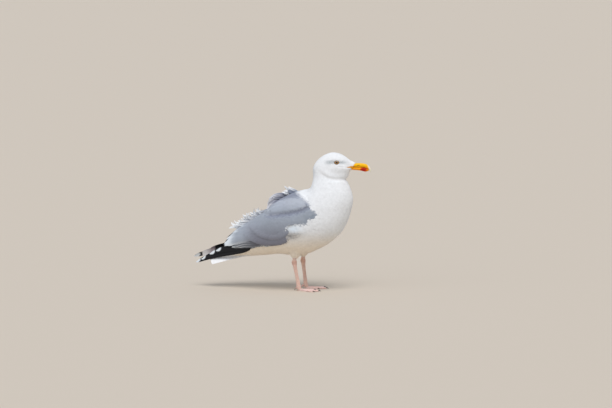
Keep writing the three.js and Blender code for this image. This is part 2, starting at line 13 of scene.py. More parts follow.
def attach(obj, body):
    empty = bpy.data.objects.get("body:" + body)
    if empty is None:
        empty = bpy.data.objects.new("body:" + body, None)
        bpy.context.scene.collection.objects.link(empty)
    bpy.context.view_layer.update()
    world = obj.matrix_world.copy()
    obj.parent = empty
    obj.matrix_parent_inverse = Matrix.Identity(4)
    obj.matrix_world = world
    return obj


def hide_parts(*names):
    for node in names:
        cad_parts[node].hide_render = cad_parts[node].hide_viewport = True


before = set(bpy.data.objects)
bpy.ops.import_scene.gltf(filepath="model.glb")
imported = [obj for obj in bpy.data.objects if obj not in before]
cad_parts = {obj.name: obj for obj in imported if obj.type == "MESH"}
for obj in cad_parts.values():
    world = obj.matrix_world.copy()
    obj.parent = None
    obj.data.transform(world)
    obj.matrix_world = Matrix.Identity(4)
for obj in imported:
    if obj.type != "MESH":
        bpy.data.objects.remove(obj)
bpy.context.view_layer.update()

MM = 0.001
AHEAD = 61.48  # mm from the frame's origin forward to the middle of the feet

# %% [markdown]
# ## Small tools
# All shapes are worked out in millimetres from the ground between the feet: +X is forward, the
# bird's left is +Y. Whole arrays of points go into a mesh at once. Quads come from a grid, and a
# node is added to a material with its settings and its links in one call.

# %% Colours, steps and curves
def srgb(code):
    """Linear colour of an sRGB hex code: each channel by the standard's two-part curve."""
    parts = np.array([int(code[i:i + 2], 16) for i in (1, 3, 5)]) / 255
    light = np.where(parts <= 0.04045, parts / 12.92, ((parts + 0.055) / 1.055) ** 2.4)
    return (*light, 1.0)


def linear(code):
    """The three linear parts of an sRGB hex code, as an array."""
    return np.array(srgb(code)[:3])


def mix(a, b, share):
    """a + (b - a) * share, where a and b are colours and the share is one value for each point."""
    return a + (b - a) * np.asarray(share)[..., None]


def step(value, low, high):
    """Smooth step: 0 below low, 1 above high, and 3t^2 - 2t^3 between them."""
    t = np.clip((value - low) / (high - low), 0, 1)
    return t * t * (3 - 2 * t)


def bell(value, width):
    """A bell that is 1 at value 0 and falls to 1/e at the width."""
    return np.exp(-(value / width) ** 2)


def unit(vectors):
    """The same vectors with length 1."""
    return vectors / np.maximum(np.linalg.norm(vectors, axis=-1, keepdims=True), 1e-12)


def through(table, place):
    """Rows of a table at fractional row numbers: a Catmull-Rom cubic between neighbouring rows."""
    table = np.asarray(table, float)
    i = np.clip(np.floor(place).astype(int), 0, len(table) - 2)
    f = (place - i)[..., None]
    a, b, c, d = (table[np.clip(i + k, 0, len(table) - 1)] for k in (-1, 0, 1, 2))
    return b + 0.5 * f * (c - a + f * (2 * a - 5 * b + 4 * c - d + f * (3 * (b - c) + d - a)))


def even(table, count):
    """A table resampled to `count` rows by the same cubic."""
    return through(table, np.linspace(0, len(table) - 1, count))


def circle(count):
    """Angles evenly round a ring, in radians."""
    return np.linspace(0, 2 * np.pi, count, endpoint=False)[None, :]


def superellipse(angle, power):
    """Sideways and upward reach of the ring |side|^n + |rise|^n = 1 at each angle: cos and sin
    times (|cos|^n + |sin|^n)^(-1/n)."""
    reach = (np.abs(np.cos(angle)) ** power + np.abs(np.sin(angle)) ** power) ** (-1 / power)
    return reach * np.cos(angle), reach * np.sin(angle)


# %% Distances in the side view
def line_distance(x, z, points, closed=False):
    """Distance from each (x, z) to the nearest stretch of a line through the points."""
    ends = points[1:] + points[:1] if closed else points[1:]
    nearest = np.full(np.shape(x), np.inf)
    for (ax, az), (bx, bz) in zip(points, ends):
        ex, ez = bx - ax, bz - az
        share = np.clip(((x - ax) * ex + (z - az) * ez) / (ex**2 + ez**2), 0, 1)
        nearest = np.minimum(nearest, np.hypot(x - ax - share * ex, z - az - share * ez))
    return nearest


def depth_inside(x, z, loop):
    """Distance to a closed loop's edge, positive inside: a point is inside where a level ray from
    it crosses the loop an odd number of times."""
    odd = np.zeros(np.shape(x), bool)
    for (ax, az), (bx, bz) in zip(loop, loop[1:] + loop[:1]):
        if az != bz:
            odd ^= ((az > z) != (bz > z)) & (x < ax + (z - az) / (bz - az) * (bx - ax))
    return np.where(odd, 1, -1) * line_distance(x, z, loop, closed=True)


# %% Meshes and pieces
def grid_faces(rows, around, wrap=True):
    """Quads of a grid with `around` points in each row, and each corner's own row and column."""
    r, c = np.meshgrid(np.arange(rows - 1), np.arange(around if wrap else around - 1), indexing="ij")
    r = np.stack([r, r, r + 1, r + 1], -1).reshape(-1, 4)
    c = np.stack([c, c + 1, c + 1, c], -1).reshape(-1, 4)
    return r * around + c % around, r, c


def make_piece(name, points, faces, material, replaced=(), marks=None, uv=None, normals=None):
    """One object from points in mm and a list of face arrays. `marks` holds a value for each
    point, `uv` and `normals` one for each face corner."""
    mesh = bpy.data.meshes.new(name)
    placed = (points.reshape(-1, 3) + [AHEAD, 0, 0]) * MM
    mesh.from_pydata(placed.tolist(), [], [face for block in faces for face in block.tolist()])
    for key, values in (marks or {}).items():
        values = np.asarray(values, np.float32)
        kind, field = ("FLOAT_VECTOR", "vector") if values.ndim > 1 else ("FLOAT", "value")
        mesh.attributes.new(key, kind, "POINT").data.foreach_set(field, values.ravel())
    if uv is not None:
        layer = mesh.uv_layers.new(name="OFBake")
        layer.data.foreach_set("uv", np.asarray(uv, np.float32).ravel())
    mesh.polygons.foreach_set("use_smooth", np.ones(len(mesh.polygons), bool))
    if normals is not None:
        mesh.normals_split_custom_set(np.asarray(normals, np.float32).reshape(-1, 3).tolist())
    mesh.materials.append(material)
    piece = bpy.data.objects.new(name, mesh)
    bpy.context.scene.collection.objects.link(piece)
    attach(piece, "root")
    if replaced:
        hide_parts(*replaced)
    triangles = sum(len(block) * (block.shape[1] - 2) for block in faces)
    print(f"{name}: {triangles} triangles")


def closed_tube(points):
    """Points and faces of a closed tube from its rings: a grid with a fan of triangles at each end."""
    rows, around = points.shape[:2]
    quads, _, _ = grid_faces(rows, around)
    spots = np.arange(around)
    first = np.stack([np.full(around, rows * around), (spots + 1) % around, spots], 1)
    last = (rows - 1) * around + np.stack([spots, (spots + 1) % around], 1)
    last = np.column_stack([last, np.full(around, rows * around + 1)])
    ends = np.array([points[0].mean(0), points[-1].mean(0)])
    return np.vstack([points.reshape(-1, 3), ends]), [quads, np.vstack([first, last])]


def tube_uv(rows, around):
    """Corner places on the bake map of a closed tube: the side fills the square, the ends a strip."""
    _, r, c = grid_faces(rows, around)
    side = np.stack([0.04 + 0.92 * r / (rows - 1), 0.02 + 0.96 * c / around], -1).reshape(-1, 2)
    return np.vstack([side, np.repeat([[0.015, 0.5], [0.985, 0.5]], 3 * around, axis=0)])


def tube_piece(name, rings, tint, material, replaced=()):
    """One closed tube as a piece. Its tint is one colour or a grid with a colour for each point."""
    points, faces = closed_tube(rings)
    tint = np.broadcast_to(tint, rings.shape)
    marks = {"tint": np.vstack([tint.reshape(-1, 3), tint[0, 0], tint[-1, 0]])}
    make_piece(name, points, faces, material, replaced, marks, tube_uv(*rings.shape[:2]))


def two_layers(rows, columns):
    """Quads of the top and of the underside of a thin closed sheet that share their rim, and the
    grid number of each of its points: the inner ones come twice."""
    top = np.arange(rows * columns).reshape(rows, columns)
    inner = top[1:-1, 1:-1]
    under = top.copy()
    under[1:-1, 1:-1] = rows * columns + np.arange(inner.size).reshape(inner.shape)
    near, far = slice(None, -1), slice(1, None)
    corners = [(near, near), (far, near), (far, far), (near, far)]
    upper = np.stack([top[corner].ravel() for corner in corners], -1)
    lower = np.stack([under[corner].ravel() for corner in corners[::-1]], -1)
    return upper, lower, np.concatenate([top.ravel(), inner.ravel()])


# %% [markdown]
# ## The view
# A long lens looks from the bird's right, a little from ahead and from just above. A wide, soft
# lamp high up in front does most of the lighting, and a pale sky fills the shade. The floor is a
# plain pale sheet that runs on past the picture.

# %% Camera
AZIMUTH, ELEVATION = np.radians(18), np.radians(5.5)
RANGE = 9010  # mm from the aim to the lens
right = np.array([np.cos(AZIMUTH), np.sin(AZIMUTH), 0])
level = np.array([np.sin(AZIMUTH), -np.cos(AZIMUTH), 0])
towards = level * np.cos(ELEVATION) + np.array([0, 0, np.sin(ELEVATION)])
upward = np.cross(towards, right)
AIM_RIGHT, AIM_UP = 9.8, 226.6  # mm from the floor between the feet to the middle of the view
aim = np.array([AHEAD, 0, 0]) + AIM_RIGHT * right + AIM_UP * upward
camera = bpy.data.objects.new("camera", bpy.data.cameras.new("camera"))
camera.data.lens = 200
camera.data.sensor_width = 36
camera.data.clip_end = 200
place = Matrix(np.column_stack([right, upward, towards]).tolist()).to_4x4()
place.translation = (aim + RANGE * towards) * MM
camera.matrix_world = place
bpy.context.scene.collection.objects.link(camera)
bpy.context.scene.camera = camera
print("camera, m:", [round(v, 2) for v in camera.location])


# %% Lamps, sky and floor
def add_sun(name, strength, spread, high, turn, colour):
    """A far lamp `high` degrees up and `turn` degrees round from the front, with a soft edge."""
    lamp = bpy.data.lights.new(name, "SUN")
    lamp.energy, lamp.angle, lamp.color = strength, np.radians(spread), srgb(colour)[:3]
    sun = bpy.data.objects.new(name, lamp)
    sun.rotation_euler = (np.radians(90 - high), 0, np.radians(90 + turn))
    bpy.context.scene.collection.objects.link(sun)


add_sun("key", 1.75, 35, 62, -58, "#fffcfa")
add_sun("fill", 0.4, 60, 25, -120, "#eef3ff")
world = bpy.data.worlds.new("sky")
world.use_nodes = True
world.node_tree.nodes["Background"].inputs["Color"].default_value = srgb("#e9edf4")
world.node_tree.nodes["Background"].inputs["Strength"].default_value = 0.55
bpy.context.scene.world = world
bpy.context.scene.view_settings.view_transform = "Standard"


def add_node(nodes, kind, links=(), **settings):
    """Adds a node, sets its fields and its sockets' values, and links (socket, output) pairs."""
    node = nodes.new("ShaderNode" + kind)
    for key, value in settings.items():
        if key in node.inputs:
            node.inputs[key].default_value = value
        else:
            setattr(node, key, value)
    for socket, output in links:
        nodes.id_data.links.new(output, node.inputs[socket])
    return node


def new_material(name, **settings):
    """A material with one Principled shader, its settings as socket values with _ for a space."""
    material = bpy.data.materials.new(name)
    material.use_nodes = True
    shader = material.node_tree.nodes["Principled BSDF"]
    for key, value in settings.items():
        shader.inputs[key.replace("_", " ")].default_value = value
    return material, material.node_tree.nodes, shader


floor_material, _, _ = new_material("matt pale floor", Base_Color=srgb("#d1c7b9"), Roughness=0.9)
FLOOR_HALF = 60  # m
corners = np.array([[-1, -1], [1, -1], [1, 1], [-1, 1]]) * FLOOR_HALF
floor_mesh = bpy.data.meshes.new("floor")
floor_mesh.from_pydata([(x, y, 0) for x, y in corners.tolist()], [], [(0, 1, 2, 3)])
floor_mesh.materials.append(floor_material)
floor = bpy.data.objects.new("floor", floor_mesh)
bpy.context.scene.collection.objects.link(floor)

# %% [markdown]
# ## The body's surface
# A bird's outline is its feathers, so the outline comes first and the skin follows inside it. The
# body is one surface through rings. Each ring runs from a point on the back to a point on the
# breast, so a few side-view points steer the whole form. `u` runs from tail to bill and `v` round
# the ring. Everything that grows on the bird is placed on this chart by (u, v), so no feather has
# to be aimed by hand.

# %% Rings of the body
# back x, back z, breast x, breast z, half-width, share of the ring's height below its widest, turn
BODY = [
    (-236, 108, -232, 69, 20, 0.45, 0), (-206, 132, -200, 76.5, 30, 0.5, 0),
    (-172, 160, -165, 82.5, 41, 0.52, 0), (-138, 180, -130, 86.5, 51, 0.54, 0),
    (-104, 204, -96, 90, 60, 0.54, 0), (-70, 232, -62, 94, 67, 0.53, 0),
    (-35, 253, -28, 92, 71.5, 0.52, 0), (-5, 264, 12, 96, 72, 0.52, 0),
    (13, 268, 44, 109, 70, 0.52, 0), (24.5, 272, 74, 126, 67, 0.51, 0),
    (29.5, 279, 101, 149, 62, 0.5, 0), (31.5, 286.5, 121, 180, 56, 0.5, 0.05),
    (32, 293.5, 133, 212, 49, 0.5, 0.15), (32.4, 301, 138, 244, 41.5, 0.5, 0.35),
    (32.4, 308, 133, 268, 35.5, 0.5, 0.6), (32.2, 315, 124.5, 286, 31, 0.5, 0.85),
    (32, 323, 121, 296, 28.5, 0.52, 1), (36, 334, 122.5, 301, 27, 0.54, 1),
    (46, 347.5, 124.5, 305, 26, 0.5, 1), (63, 360, 126.5, 309, 25, 0.45, 1),
    (83, 366.6, 128, 313, 23, 0.38, 1), (102, 364, 129.5, 315.8, 19.5, 0.34, 1),
    (118, 355.5, 131, 318.2, 15, 0.34, 1), (131, 346.6, 132.5, 320, 10.8, 0.38, 1),
    (145.5, 339.6, 134.5, 321.5, 7.4, 0.45, 1),
]
LAST = len(BODY) - 1
POWER = 2.15  # a ring is an ellipse at 2 and squarer above it
HEAD_TURN = np.radians(8)  # to the bird's left
NECK_AXIS = 78  # x of the upright line that the head turns about

WING = [
    (62, 213), (63, 206), (54, 196.5), (43, 189), (27, 181.5), (8, 178.5), (-12, 174), (-19, 163),
    (-17, 151), (-13, 141), (-24, 130), (-40, 122), (-58, 119.5), (-92, 117.5), (-128, 108),
    (-160, 106), (-190, 106), (-206, 108), (-219, 114), (-236, 124), (-214, 144), (-170, 178),
    (-128, 206), (-96, 222), (-84, 201), (-50, 203), (-8, 209), (20, 218), (40, 227), (50, 224),
]
SCAPULARS = [
    (38, 234), (40, 227), (20, 218), (-8, 209), (-50, 203), (-84, 201), (-93, 210), (-84, 221),
    (-57, 241), (-30, 250.5), (-7, 254), (16, 254), (31, 246),
]
COLLAR = [(44, 322), (49.5, 317), (63.5, 308), (80, 300.7), (98.5, 297.4), (112, 297), (124, 295)]
EYE = np.array([98.3, 341.6])  # x and z of its middle before the head is turned
EYE_RADIUS = 7.0
STANCE = 28.0  # mm from the middle plane to the middle of each leg
FEET = {-1: (-13, -0.5, 0.0), 1: (-7, 0.5, 8.0)}  # ankle x, foot x, degrees the toes turn left


def turned(points, share):
    """Points turned with the head by a share of its turn, about the neck's upright axis."""
    angle = share * HEAD_TURN
    x, y = points[..., 0] - NECK_AXIS, points[..., 1]
    return np.stack([NECK_AXIS + x * np.cos(angle) - y * np.sin(angle),
                     x * np.sin(angle) + y * np.cos(angle), points[..., 2]], -1)


def relief(p):
    """Height in mm of the forms that the rings are too coarse for, from side-view distances: the
    eye's hollow under its brow, the lores, the corner of the mouth, the cheek with the crease under
    it, the lobe of the scapulars, the step at the folded wing's edge and the tuft of the flank."""
    x, y, z = p[..., 0], p[..., 1], p[..., 2]
    face = step(z, 300, 320)
    eye = -1.4 * bell(np.hypot((x - EYE[0]) / 1.4, z - EYE[1]), 6.5)
    brow = 1.1 * bell((x - 98) / 14, 1) * bell(z - 349.5, 3.6)
    lores = -1.0 * bell(line_distance(x, z, [(106, 340.5), (128, 333)]), 4)
    gape = -0.8 * bell(line_distance(x, z, [(103, 330.5), (132, 328.6)]), 1.8)
    cheek = 0.9 * bell(np.hypot((x - 92) / 1.6, z - 322), 11)
    collar = line_distance(x, z, COLLAR)
    below = z < np.interp(x, [c[0] for c in COLLAR], [c[1] for c in COLLAR])
    jowl = 1.0 * bell(collar - 9, 6) - 2.6 * bell(collar, 3.6)
    crease = np.where(below, -2.6 * bell(collar, 9), jowl) * step(x, 44, 74) * step(z, 288, 294)
    lobe = depth_inside(x, z, SCAPULARS)
    lobe = (3.4 * step(lobe, -2, 9) - 1.0 * bell(lobe + 3, 4)) * step(np.abs(y), 14, 30)
    wing = depth_inside(x, z, WING)
    rise = 2.6 * step(wing, -1, 5) * step(x, 30, -10) * step(z, 215, 190)
    wing = rise - 0.8 * bell(wing + 4, 5) * (x < 0)
    tuft = 8.5 * bell(np.hypot((x - 1) / 1.6, z - 161), 11) * (z < 200)
    soft = 0.5 * np.sin(x / 17 + 2 * np.sin(z / 23)) * np.sin(z / 19 + y / 29) * step(x, -60, 0)
    return (eye + brow + lores + gape + cheek) * face + crease + lobe + wing + tuft + soft


def thigh_drop(p):
    """How far the feathered thighs hang below the belly: a rounded knob round each ankle's line."""
    low = step(p[..., 2], 150, 125)
    drop = np.zeros(p.shape[:-1])
    for side, (ankle_x, _, _) in FEET.items():
        away = np.hypot((p[..., 0] - ankle_x - 2) / 1.15, p[..., 1] - side * STANCE)
        drop = drop + 12.5 * step(away, 17, 3.5)
    return drop * low


# %% The chart
CHART_ROWS, CHART_SPOTS = 24 * LAST, 384


def build_chart():
    """Points, u-slopes, v-slopes, normals and unturned points on a fine grid. Each ring is a
    superellipse, scaled by the half-width and the heights above and below the widest place."""
    u = np.linspace(0, 1, CHART_ROWS + 1)[:, None]
    v = circle(CHART_SPOTS)
    ring = through(BODY, u * LAST)
    back = np.stack([ring[..., 0], 0 * ring[..., 0], ring[..., 1]], -1)
    breast = np.stack([ring[..., 2], 0 * ring[..., 2], ring[..., 3]], -1)
    half, widest, turn = ring[..., 4], ring[..., 5], ring[..., 6]
    height = np.linalg.norm(back - breast, axis=-1)
    out, rise = superellipse(v, POWER)
    rise = rise * np.where(rise > 0, height * (1 - widest), height * widest)
    points = breast + unit(back - breast) * (height * widest)[..., None]
    points = points + unit(back - breast) * rise[..., None]
    points[..., 1] += half * out

    def slopes(p):
        along = np.gradient(p, 1 / CHART_ROWS, axis=0)
        round_it = (np.roll(p, -1, 1) - np.roll(p, 1, 1)) * CHART_SPOTS / (4 * np.pi)
        return along, round_it, unit(np.cross(round_it, along))

    _, _, normals = slopes(points)
    points = points + normals * relief(points)[..., None]
    points[..., 2] -= thigh_drop(points)
    unturned = points
    points = turned(points, turn + 0 * v)
    along, round_it, normals = slopes(points)
    return np.concatenate([points, along, round_it, normals, unturned], -1)


CHART = build_chart()


def on_chart(uv):
    """Point, u-slope, v-slope, normal and unturned point at each (u, v), straight between the
    chart's points."""
    row = np.clip(uv[..., 0], 0, 1) * CHART_ROWS
    spot = uv[..., 1] * CHART_SPOTS / (2 * np.pi)
    r = np.minimum(np.floor(row).astype(int), CHART_ROWS - 1)
    c = np.floor(spot).astype(int)
    fr, fc = (row - r)[..., None], (spot - c)[..., None]
    c, d = c % CHART_SPOTS, (c + 1) % CHART_SPOTS
    mixed = (CHART[r, c] * (1 - fc) + CHART[r, d] * fc) * (1 - fr)
    mixed += (CHART[r + 1, c] * (1 - fc) + CHART[r + 1, d] * fc) * fr
    return mixed[..., 0:3], mixed[..., 3:6], mixed[..., 6:9], unit(mixed[..., 9:12]), mixed[..., 12:]


def chart_step(along, round_it, direction):
    """The (u, v) step that moves one mm in a direction: the least-squares solution of
    du * u-slope + dv * v-slope = direction."""
    aa, bb = (along * along).sum(-1), (round_it * round_it).sum(-1)
    ab = (along * round_it).sum(-1)
    da, db = (direction * along).sum(-1), (direction * round_it).sum(-1)
    scale = np.maximum(aa * bb - ab * ab, 1e-9)
    return np.stack([(da * bb - db * ab) / scale, (db * aa - da * ab) / scale], -1)


def locate(xz, side):
    """The (u, v) whose unturned side view is each (x, z) on one side: the nearest chart point, then
    three Newton steps with the chart's slopes."""
    xz = np.asarray(xz, float)
    rows = np.arange(0, CHART_ROWS + 1, 4)
    spots = np.arange(0, CHART_SPOTS, 4)
    spots = spots[np.sign(np.cos(spots * 2 * np.pi / CHART_SPOTS)) == side]
    r, c = (g.ravel() for g in np.meshgrid(rows, spots, indexing="ij"))
    seen = CHART[r, c][:, [12, 14]]
    nearest = ((xz.reshape(-1, 1, 2) - seen) ** 2).sum(-1).argmin(1)
    uv = np.stack([r[nearest] / CHART_ROWS, c[nearest] * 2 * np.pi / CHART_SPOTS], -1).reshape(xz.shape)
    for _ in range(3):
        _, along, round_it, _, unturned = on_chart(uv)
        miss = xz - unturned[..., [0, 2]]
        det = along[..., 0] * round_it[..., 2] - along[..., 2] * round_it[..., 0]
        det = np.where(np.abs(det) < 500, np.inf, det)
        du = (miss[..., 0] * round_it[..., 2] - miss[..., 1] * round_it[..., 0]) / det
        dv = (along[..., 0] * miss[..., 1] - along[..., 2] * miss[..., 0]) / det
        uv = uv + np.clip(np.stack([du, dv], -1), [-0.02, -0.1], [0.02, 0.1])
    return uv


print("chart:", CHART.shape[:2], "points")

# %% [markdown]
# ## Colours of the plumage
# An adult in spring is white but for its back and wings, which are a pale blue-grey, and the black
# wing tips. The same function colours the skin and every small feather, so no white skin shows
# between grey feathers. The belly takes a little cream, which is painted warm light reflected from
# the floor. Painted shade lies on the face in two grey smudges, one over the eye and one before it,
# and as a bluish grey on the nape. The tuft of the flank has a painted bluish highlight above and a
# painted shadow below.

# %% Markings
GREY = [  # outline of the grey back and wings
    (-14, 280), (-9, 266), (4, 258.5), (19, 251), (31, 244.5), (42, 235), (43, 227), (52, 219),
    (64, 210), (63, 205), (52, 197), (38, 191.5), (45, 185), (25, 180), (6, 178), (-9, 175.5),
    (-18, 168), (-22.5, 157), (-20, 147), (-14, 139.5), (-24, 130), (-40, 122), (-58, 119.5),
    (-92, 117.5), (-128, 108), (-160, 106), (-190, 106), (-206, 108), (-219, 114), (-244, 118),
    (-244, 160), (-140, 230), (-60, 275),
]


def greyness(p):
    """1 on the grey back and wings, 0 on the white parts, from the distance inside their outline in
    the side view. The edge is softer at the neck and ragged at the bend of the wing."""
    x, z = p[..., 0], p[..., 2]
    front = step(x, 5, 35) * step(z, 232, 215)
    ragged = 1.3 * np.sin(x / 3.1 + z / 5.3) * np.sin(z / 3.7 - x / 8.9) * front
    soft = 1 + 1.6 * step(z, 222, 236) * step(x, -30, 0)
    return step((depth_inside(x, z, GREY) + ragged) / soft, -1.5, 2.5)


def grey_tint(p):
    """Grey of the back and the wings: darkest low on the wing, where the darkening is painted shade,
    paler towards the rear and darker and bluer towards the bend of the wing. A painted shadow lies in
    a band under the scapulars' lobe, and a painted highlight, the palest grey, on its upper side."""
    x, z = p[..., 0], p[..., 2]
    # The low, forward wing is darker grey: painted shade, as the light comes from above.
    out_of_painted_shade = np.maximum(step(z, 116, 205), step(x, -95, -165))
    grey = mix(linear("#7b7c8a"), linear("#9fa8b5"), out_of_painted_shade)
    lobe = depth_inside(x, z, SCAPULARS)
    grey = mix(grey, linear("#7f8c9c"), 0.6 * step(x, 20, 58) * step(z, 214, 200))
    # A darker band just under the scapulars' lobe: a painted shadow.
    painted_lobe_shadow = 0.85 * bell(lobe + 0.5, 6.5) * step(x, -92, -62) * step(x, 50, 30)
    grey = mix(grey, linear("#80869a"), painted_lobe_shadow)
    # The pale grey on the lobe's upper side is a painted highlight.
    pale = mix(linear("#a3aab8"), linear("#b6bdc9"), step(x, -50, 5))
    return mix(grey, pale, step(lobe, 1, 9) * step(z, 210, 242))


def plumage_tint(p):
    """Linear colour of the body's feathers at each unturned point, painted light and shade included."""
    x, z = p[..., 0], p[..., 2]
    # Cream low on the belly: painted warm light reflected up from the floor.
    white = mix(linear("#eff2f5"), linear("#f1e6d5"), step(z, 172, 105))
    # Two grey smudges by the eye: painted shade of its socket under the brow.
    eye_socket_shade = bell(np.hypot((x - 83) / 12, (z - 343) / 4.8), 1)
    eye_socket_shade = eye_socket_shade + bell(np.hypot((x - 112) / 11, (z - 341.4) / 3.8), 1)
    white = mix(white, linear("#a9b1b5"), np.minimum(0.85 * eye_socket_shade, 1))
    # Bluish grey on the back of the head and the nape: painted shade.
    nape_shade = step(x, 44, 34) * step(z, 290, 310)
    white = mix(white, linear("#dfe5ea"), 0.6 * nape_shade)
    # Dark grey low by the flank's tuft: a painted shadow under it.
    white = mix(white, linear("#7c7d83"), 0.8 * bell(np.hypot((x + 9) / 2.2, z - 149), 8))
    # Bluish grey over the tuft: a painted highlight on its top.
    white = mix(white, linear("#cdd7df"), 0.9 * bell(np.hypot((x - 2) / 1.9, z - 167), 12))
    white = mix(white, linear("#f3f4f5"), step(x, -160, -195))
    return mix(white, grey_tint(p), greyness(p))


# %% [markdown]
# ## Skin
# Under the feathers lies one closed skin with no seam from the tail's root to the bill. It is the
# chart moved inwards by the depth of the coat: about 1 mm on the face, 6 mm on the body and 7.5 mm
# under the wings. Its rear end narrows to the root of the tail. It only shows where feathers part,
# so a plain matt surface in the plumage's own colours is enough.

# %% Materials that read a colour from their mesh
def tinted(name, mottle, mottle_mm, **settings):
    """A substance whose colour is the mesh's `tint`, a little darker and lighter in soft spots
    `mottle_mm` across."""
    material, nodes, shader = new_material(name, **settings)
    tint = add_node(nodes, "Attribute", attribute_name="tint")
    where = add_node(nodes, "TexCoord")
    spots = add_node(
        nodes, "TexNoise", [("Vector", where.outputs["Object"])], Scale=1000 / mottle_mm, Detail=3.0)
    level = add_node(nodes, "MapRange", [("Value", spots.outputs["Fac"])])
    span = {"From Min": 0.3, "From Max": 0.7, "To Min": 1 - mottle, "To Max": 1 + mottle / 3}
    for socket, value in span.items():
        level.inputs[socket].default_value = value
    links = [("Vector", tint.outputs["Vector"]), ("Scale", level.outputs["Result"])]
    scaled = add_node(nodes, "VectorMath", links, operation="SCALE")
    material.node_tree.links.new(scaled.outputs["Vector"], shader.inputs["Base Color"])
    return material, nodes, shader, where


# Barbs and barbules scatter light softly at every angle: nearly matt, with a little sheen.
PLUMAGE = tinted("soft contour feathers", 0.05, 9,
                 Roughness=0.85, Sheen_Weight=0.15, Sheen_Roughness=0.6)[0]

# %% Make the skin
def coat_depth(p):
    """Distance in mm from the outline in to the skin: least on the face, most under the wings."""
    x, z = p[..., 0], p[..., 2]
    depth = 6 - 2.5 * step(z, 215, 275) - 2.3 * step(z, 300, 318)
    return depth + 1.5 * step(depth_inside(x, z, WING), 0, 12)


SKIN_ROWS, SKIN_SPOTS = 300, 160
SKIN_START = 0.075  # u at the root of the tail
u = np.linspace(SKIN_START, 1, SKIN_ROWS)[:, None] + np.zeros(SKIN_SPOTS)
v = circle(SKIN_SPOTS) - np.pi / 2 + np.zeros((SKIN_ROWS, 1))
skin, _, _, outwards, unturned = on_chart(np.stack([u, v], -1))
skin = skin - outwards * coat_depth(unturned)[..., None]
tail_root = np.array([-165.0, 0.0, 93.0])
narrow = step(skin[..., :1], -75, -185)
skin = skin + narrow * (tail_root - skin) * [0, 0.85, 0.8]
points, faces = closed_tube(skin)
_, r, c = grid_faces(SKIN_ROWS, SKIN_SPOTS)
skin_uv = np.stack([0.02 + 0.96 * r / (SKIN_ROWS - 1), 0.02 + 0.96 * c / SKIN_SPOTS], -1)
end_uv = np.repeat([[0.01, 0.5], [0.99, 0.5]], 3 * SKIN_SPOTS, axis=0)
tint = plumage_tint(unturned)
marks = {"tint": np.vstack([tint.reshape(-1, 3), tint[[0, -1], 0]])}
FLESH = ("trunk", "neck", "head", "thigh_right", "thigh_left")
skin_uv = np.vstack([skin_uv.reshape(-1, 2), end_uv])
make_piece("skin", points, faces, PLUMAGE, FLESH, marks, skin_uv)

# %% [markdown]
# ## A feather
# Every feather is one thin closed leaf. Its top and its underside share their rim. `t` runs from
# root to tip and `s` from edge to edge. A short leaf with few rows serves the small feathers, which
# only show their tips. A long one, with rows that crowd towards the tip, serves the wing and tail.

# %% Leaves
class Leaf:
    """Rows at `t`, columns at `s` and an outline of (t, half-width) pairs. `layer` is 1 on the top,
    -1 on the underside and 0 on the rim that they share."""

    def __init__(self, t, s, outline):
        rows, columns = len(t), len(s)
        self.top, self.under, spots = two_layers(rows, columns)
        row, column = np.divmod(spots, columns)
        self.t, self.s = np.asarray(t, float)[row], np.asarray(s, float)[column]
        rim = (row == 0) | (row == rows - 1) | (column == 0) | (column == columns - 1)
        first = np.arange(len(spots)) < rows * columns
        self.layer = np.where(rim, 0.0, np.where(first, 1.0, -1.0))
        self.width = np.interp(self.t, *np.array(outline).T)


FIVE = [-1, -0.5, 0, 0.5, 1]
PLUME_ROWS = [0, 0.4, 0.68, 0.86, 0.96, 1]
BLADE_ROWS = [0, 0.12, 0.25, 0.38, 0.5, 0.6, 0.69, 0.77, 0.83, 0.88, 0.92, 0.95, 0.975, 0.99, 1]
PLUME = Leaf(
    PLUME_ROWS, FIVE,
    [(0, 0.35), (0.4, 0.92), (0.68, 1), (0.86, 0.88), (0.96, 0.6), (1, 0.3)])
COVERT = Leaf(
    BLADE_ROWS, FIVE,
    [(0, 0.4), (0.25, 0.85), (0.6, 1), (0.88, 0.93), (0.95, 0.74), (0.99, 0.42), (1, 0.25)])
QUILL = Leaf(
    BLADE_ROWS, FIVE,
    [(0, 0.55), (0.3, 0.95), (0.6, 1), (0.8, 0.86), (0.92, 0.62), (0.975, 0.38), (1, 0.12)])
PRIMARY = Leaf(
    np.linspace(0, 1, 70) ** 0.8, [-1, -0.67, -0.33, 0, 0.33, 0.67, 1],
    [(0, 0.55), (0.3, 0.95), (0.6, 1), (0.8, 0.9), (0.93, 0.76), (0.98, 0.58), (1, 0.22)])
RECTRIX = Leaf(
    BLADE_ROWS, FIVE,
    [(0, 0.5), (0.4, 0.85), (0.8, 1), (0.95, 0.97), (0.99, 0.8), (1, 0.62)])
print("triangles in a plume, a covert:", 4 * len(PLUME.top), 4 * len(COVERT.top))


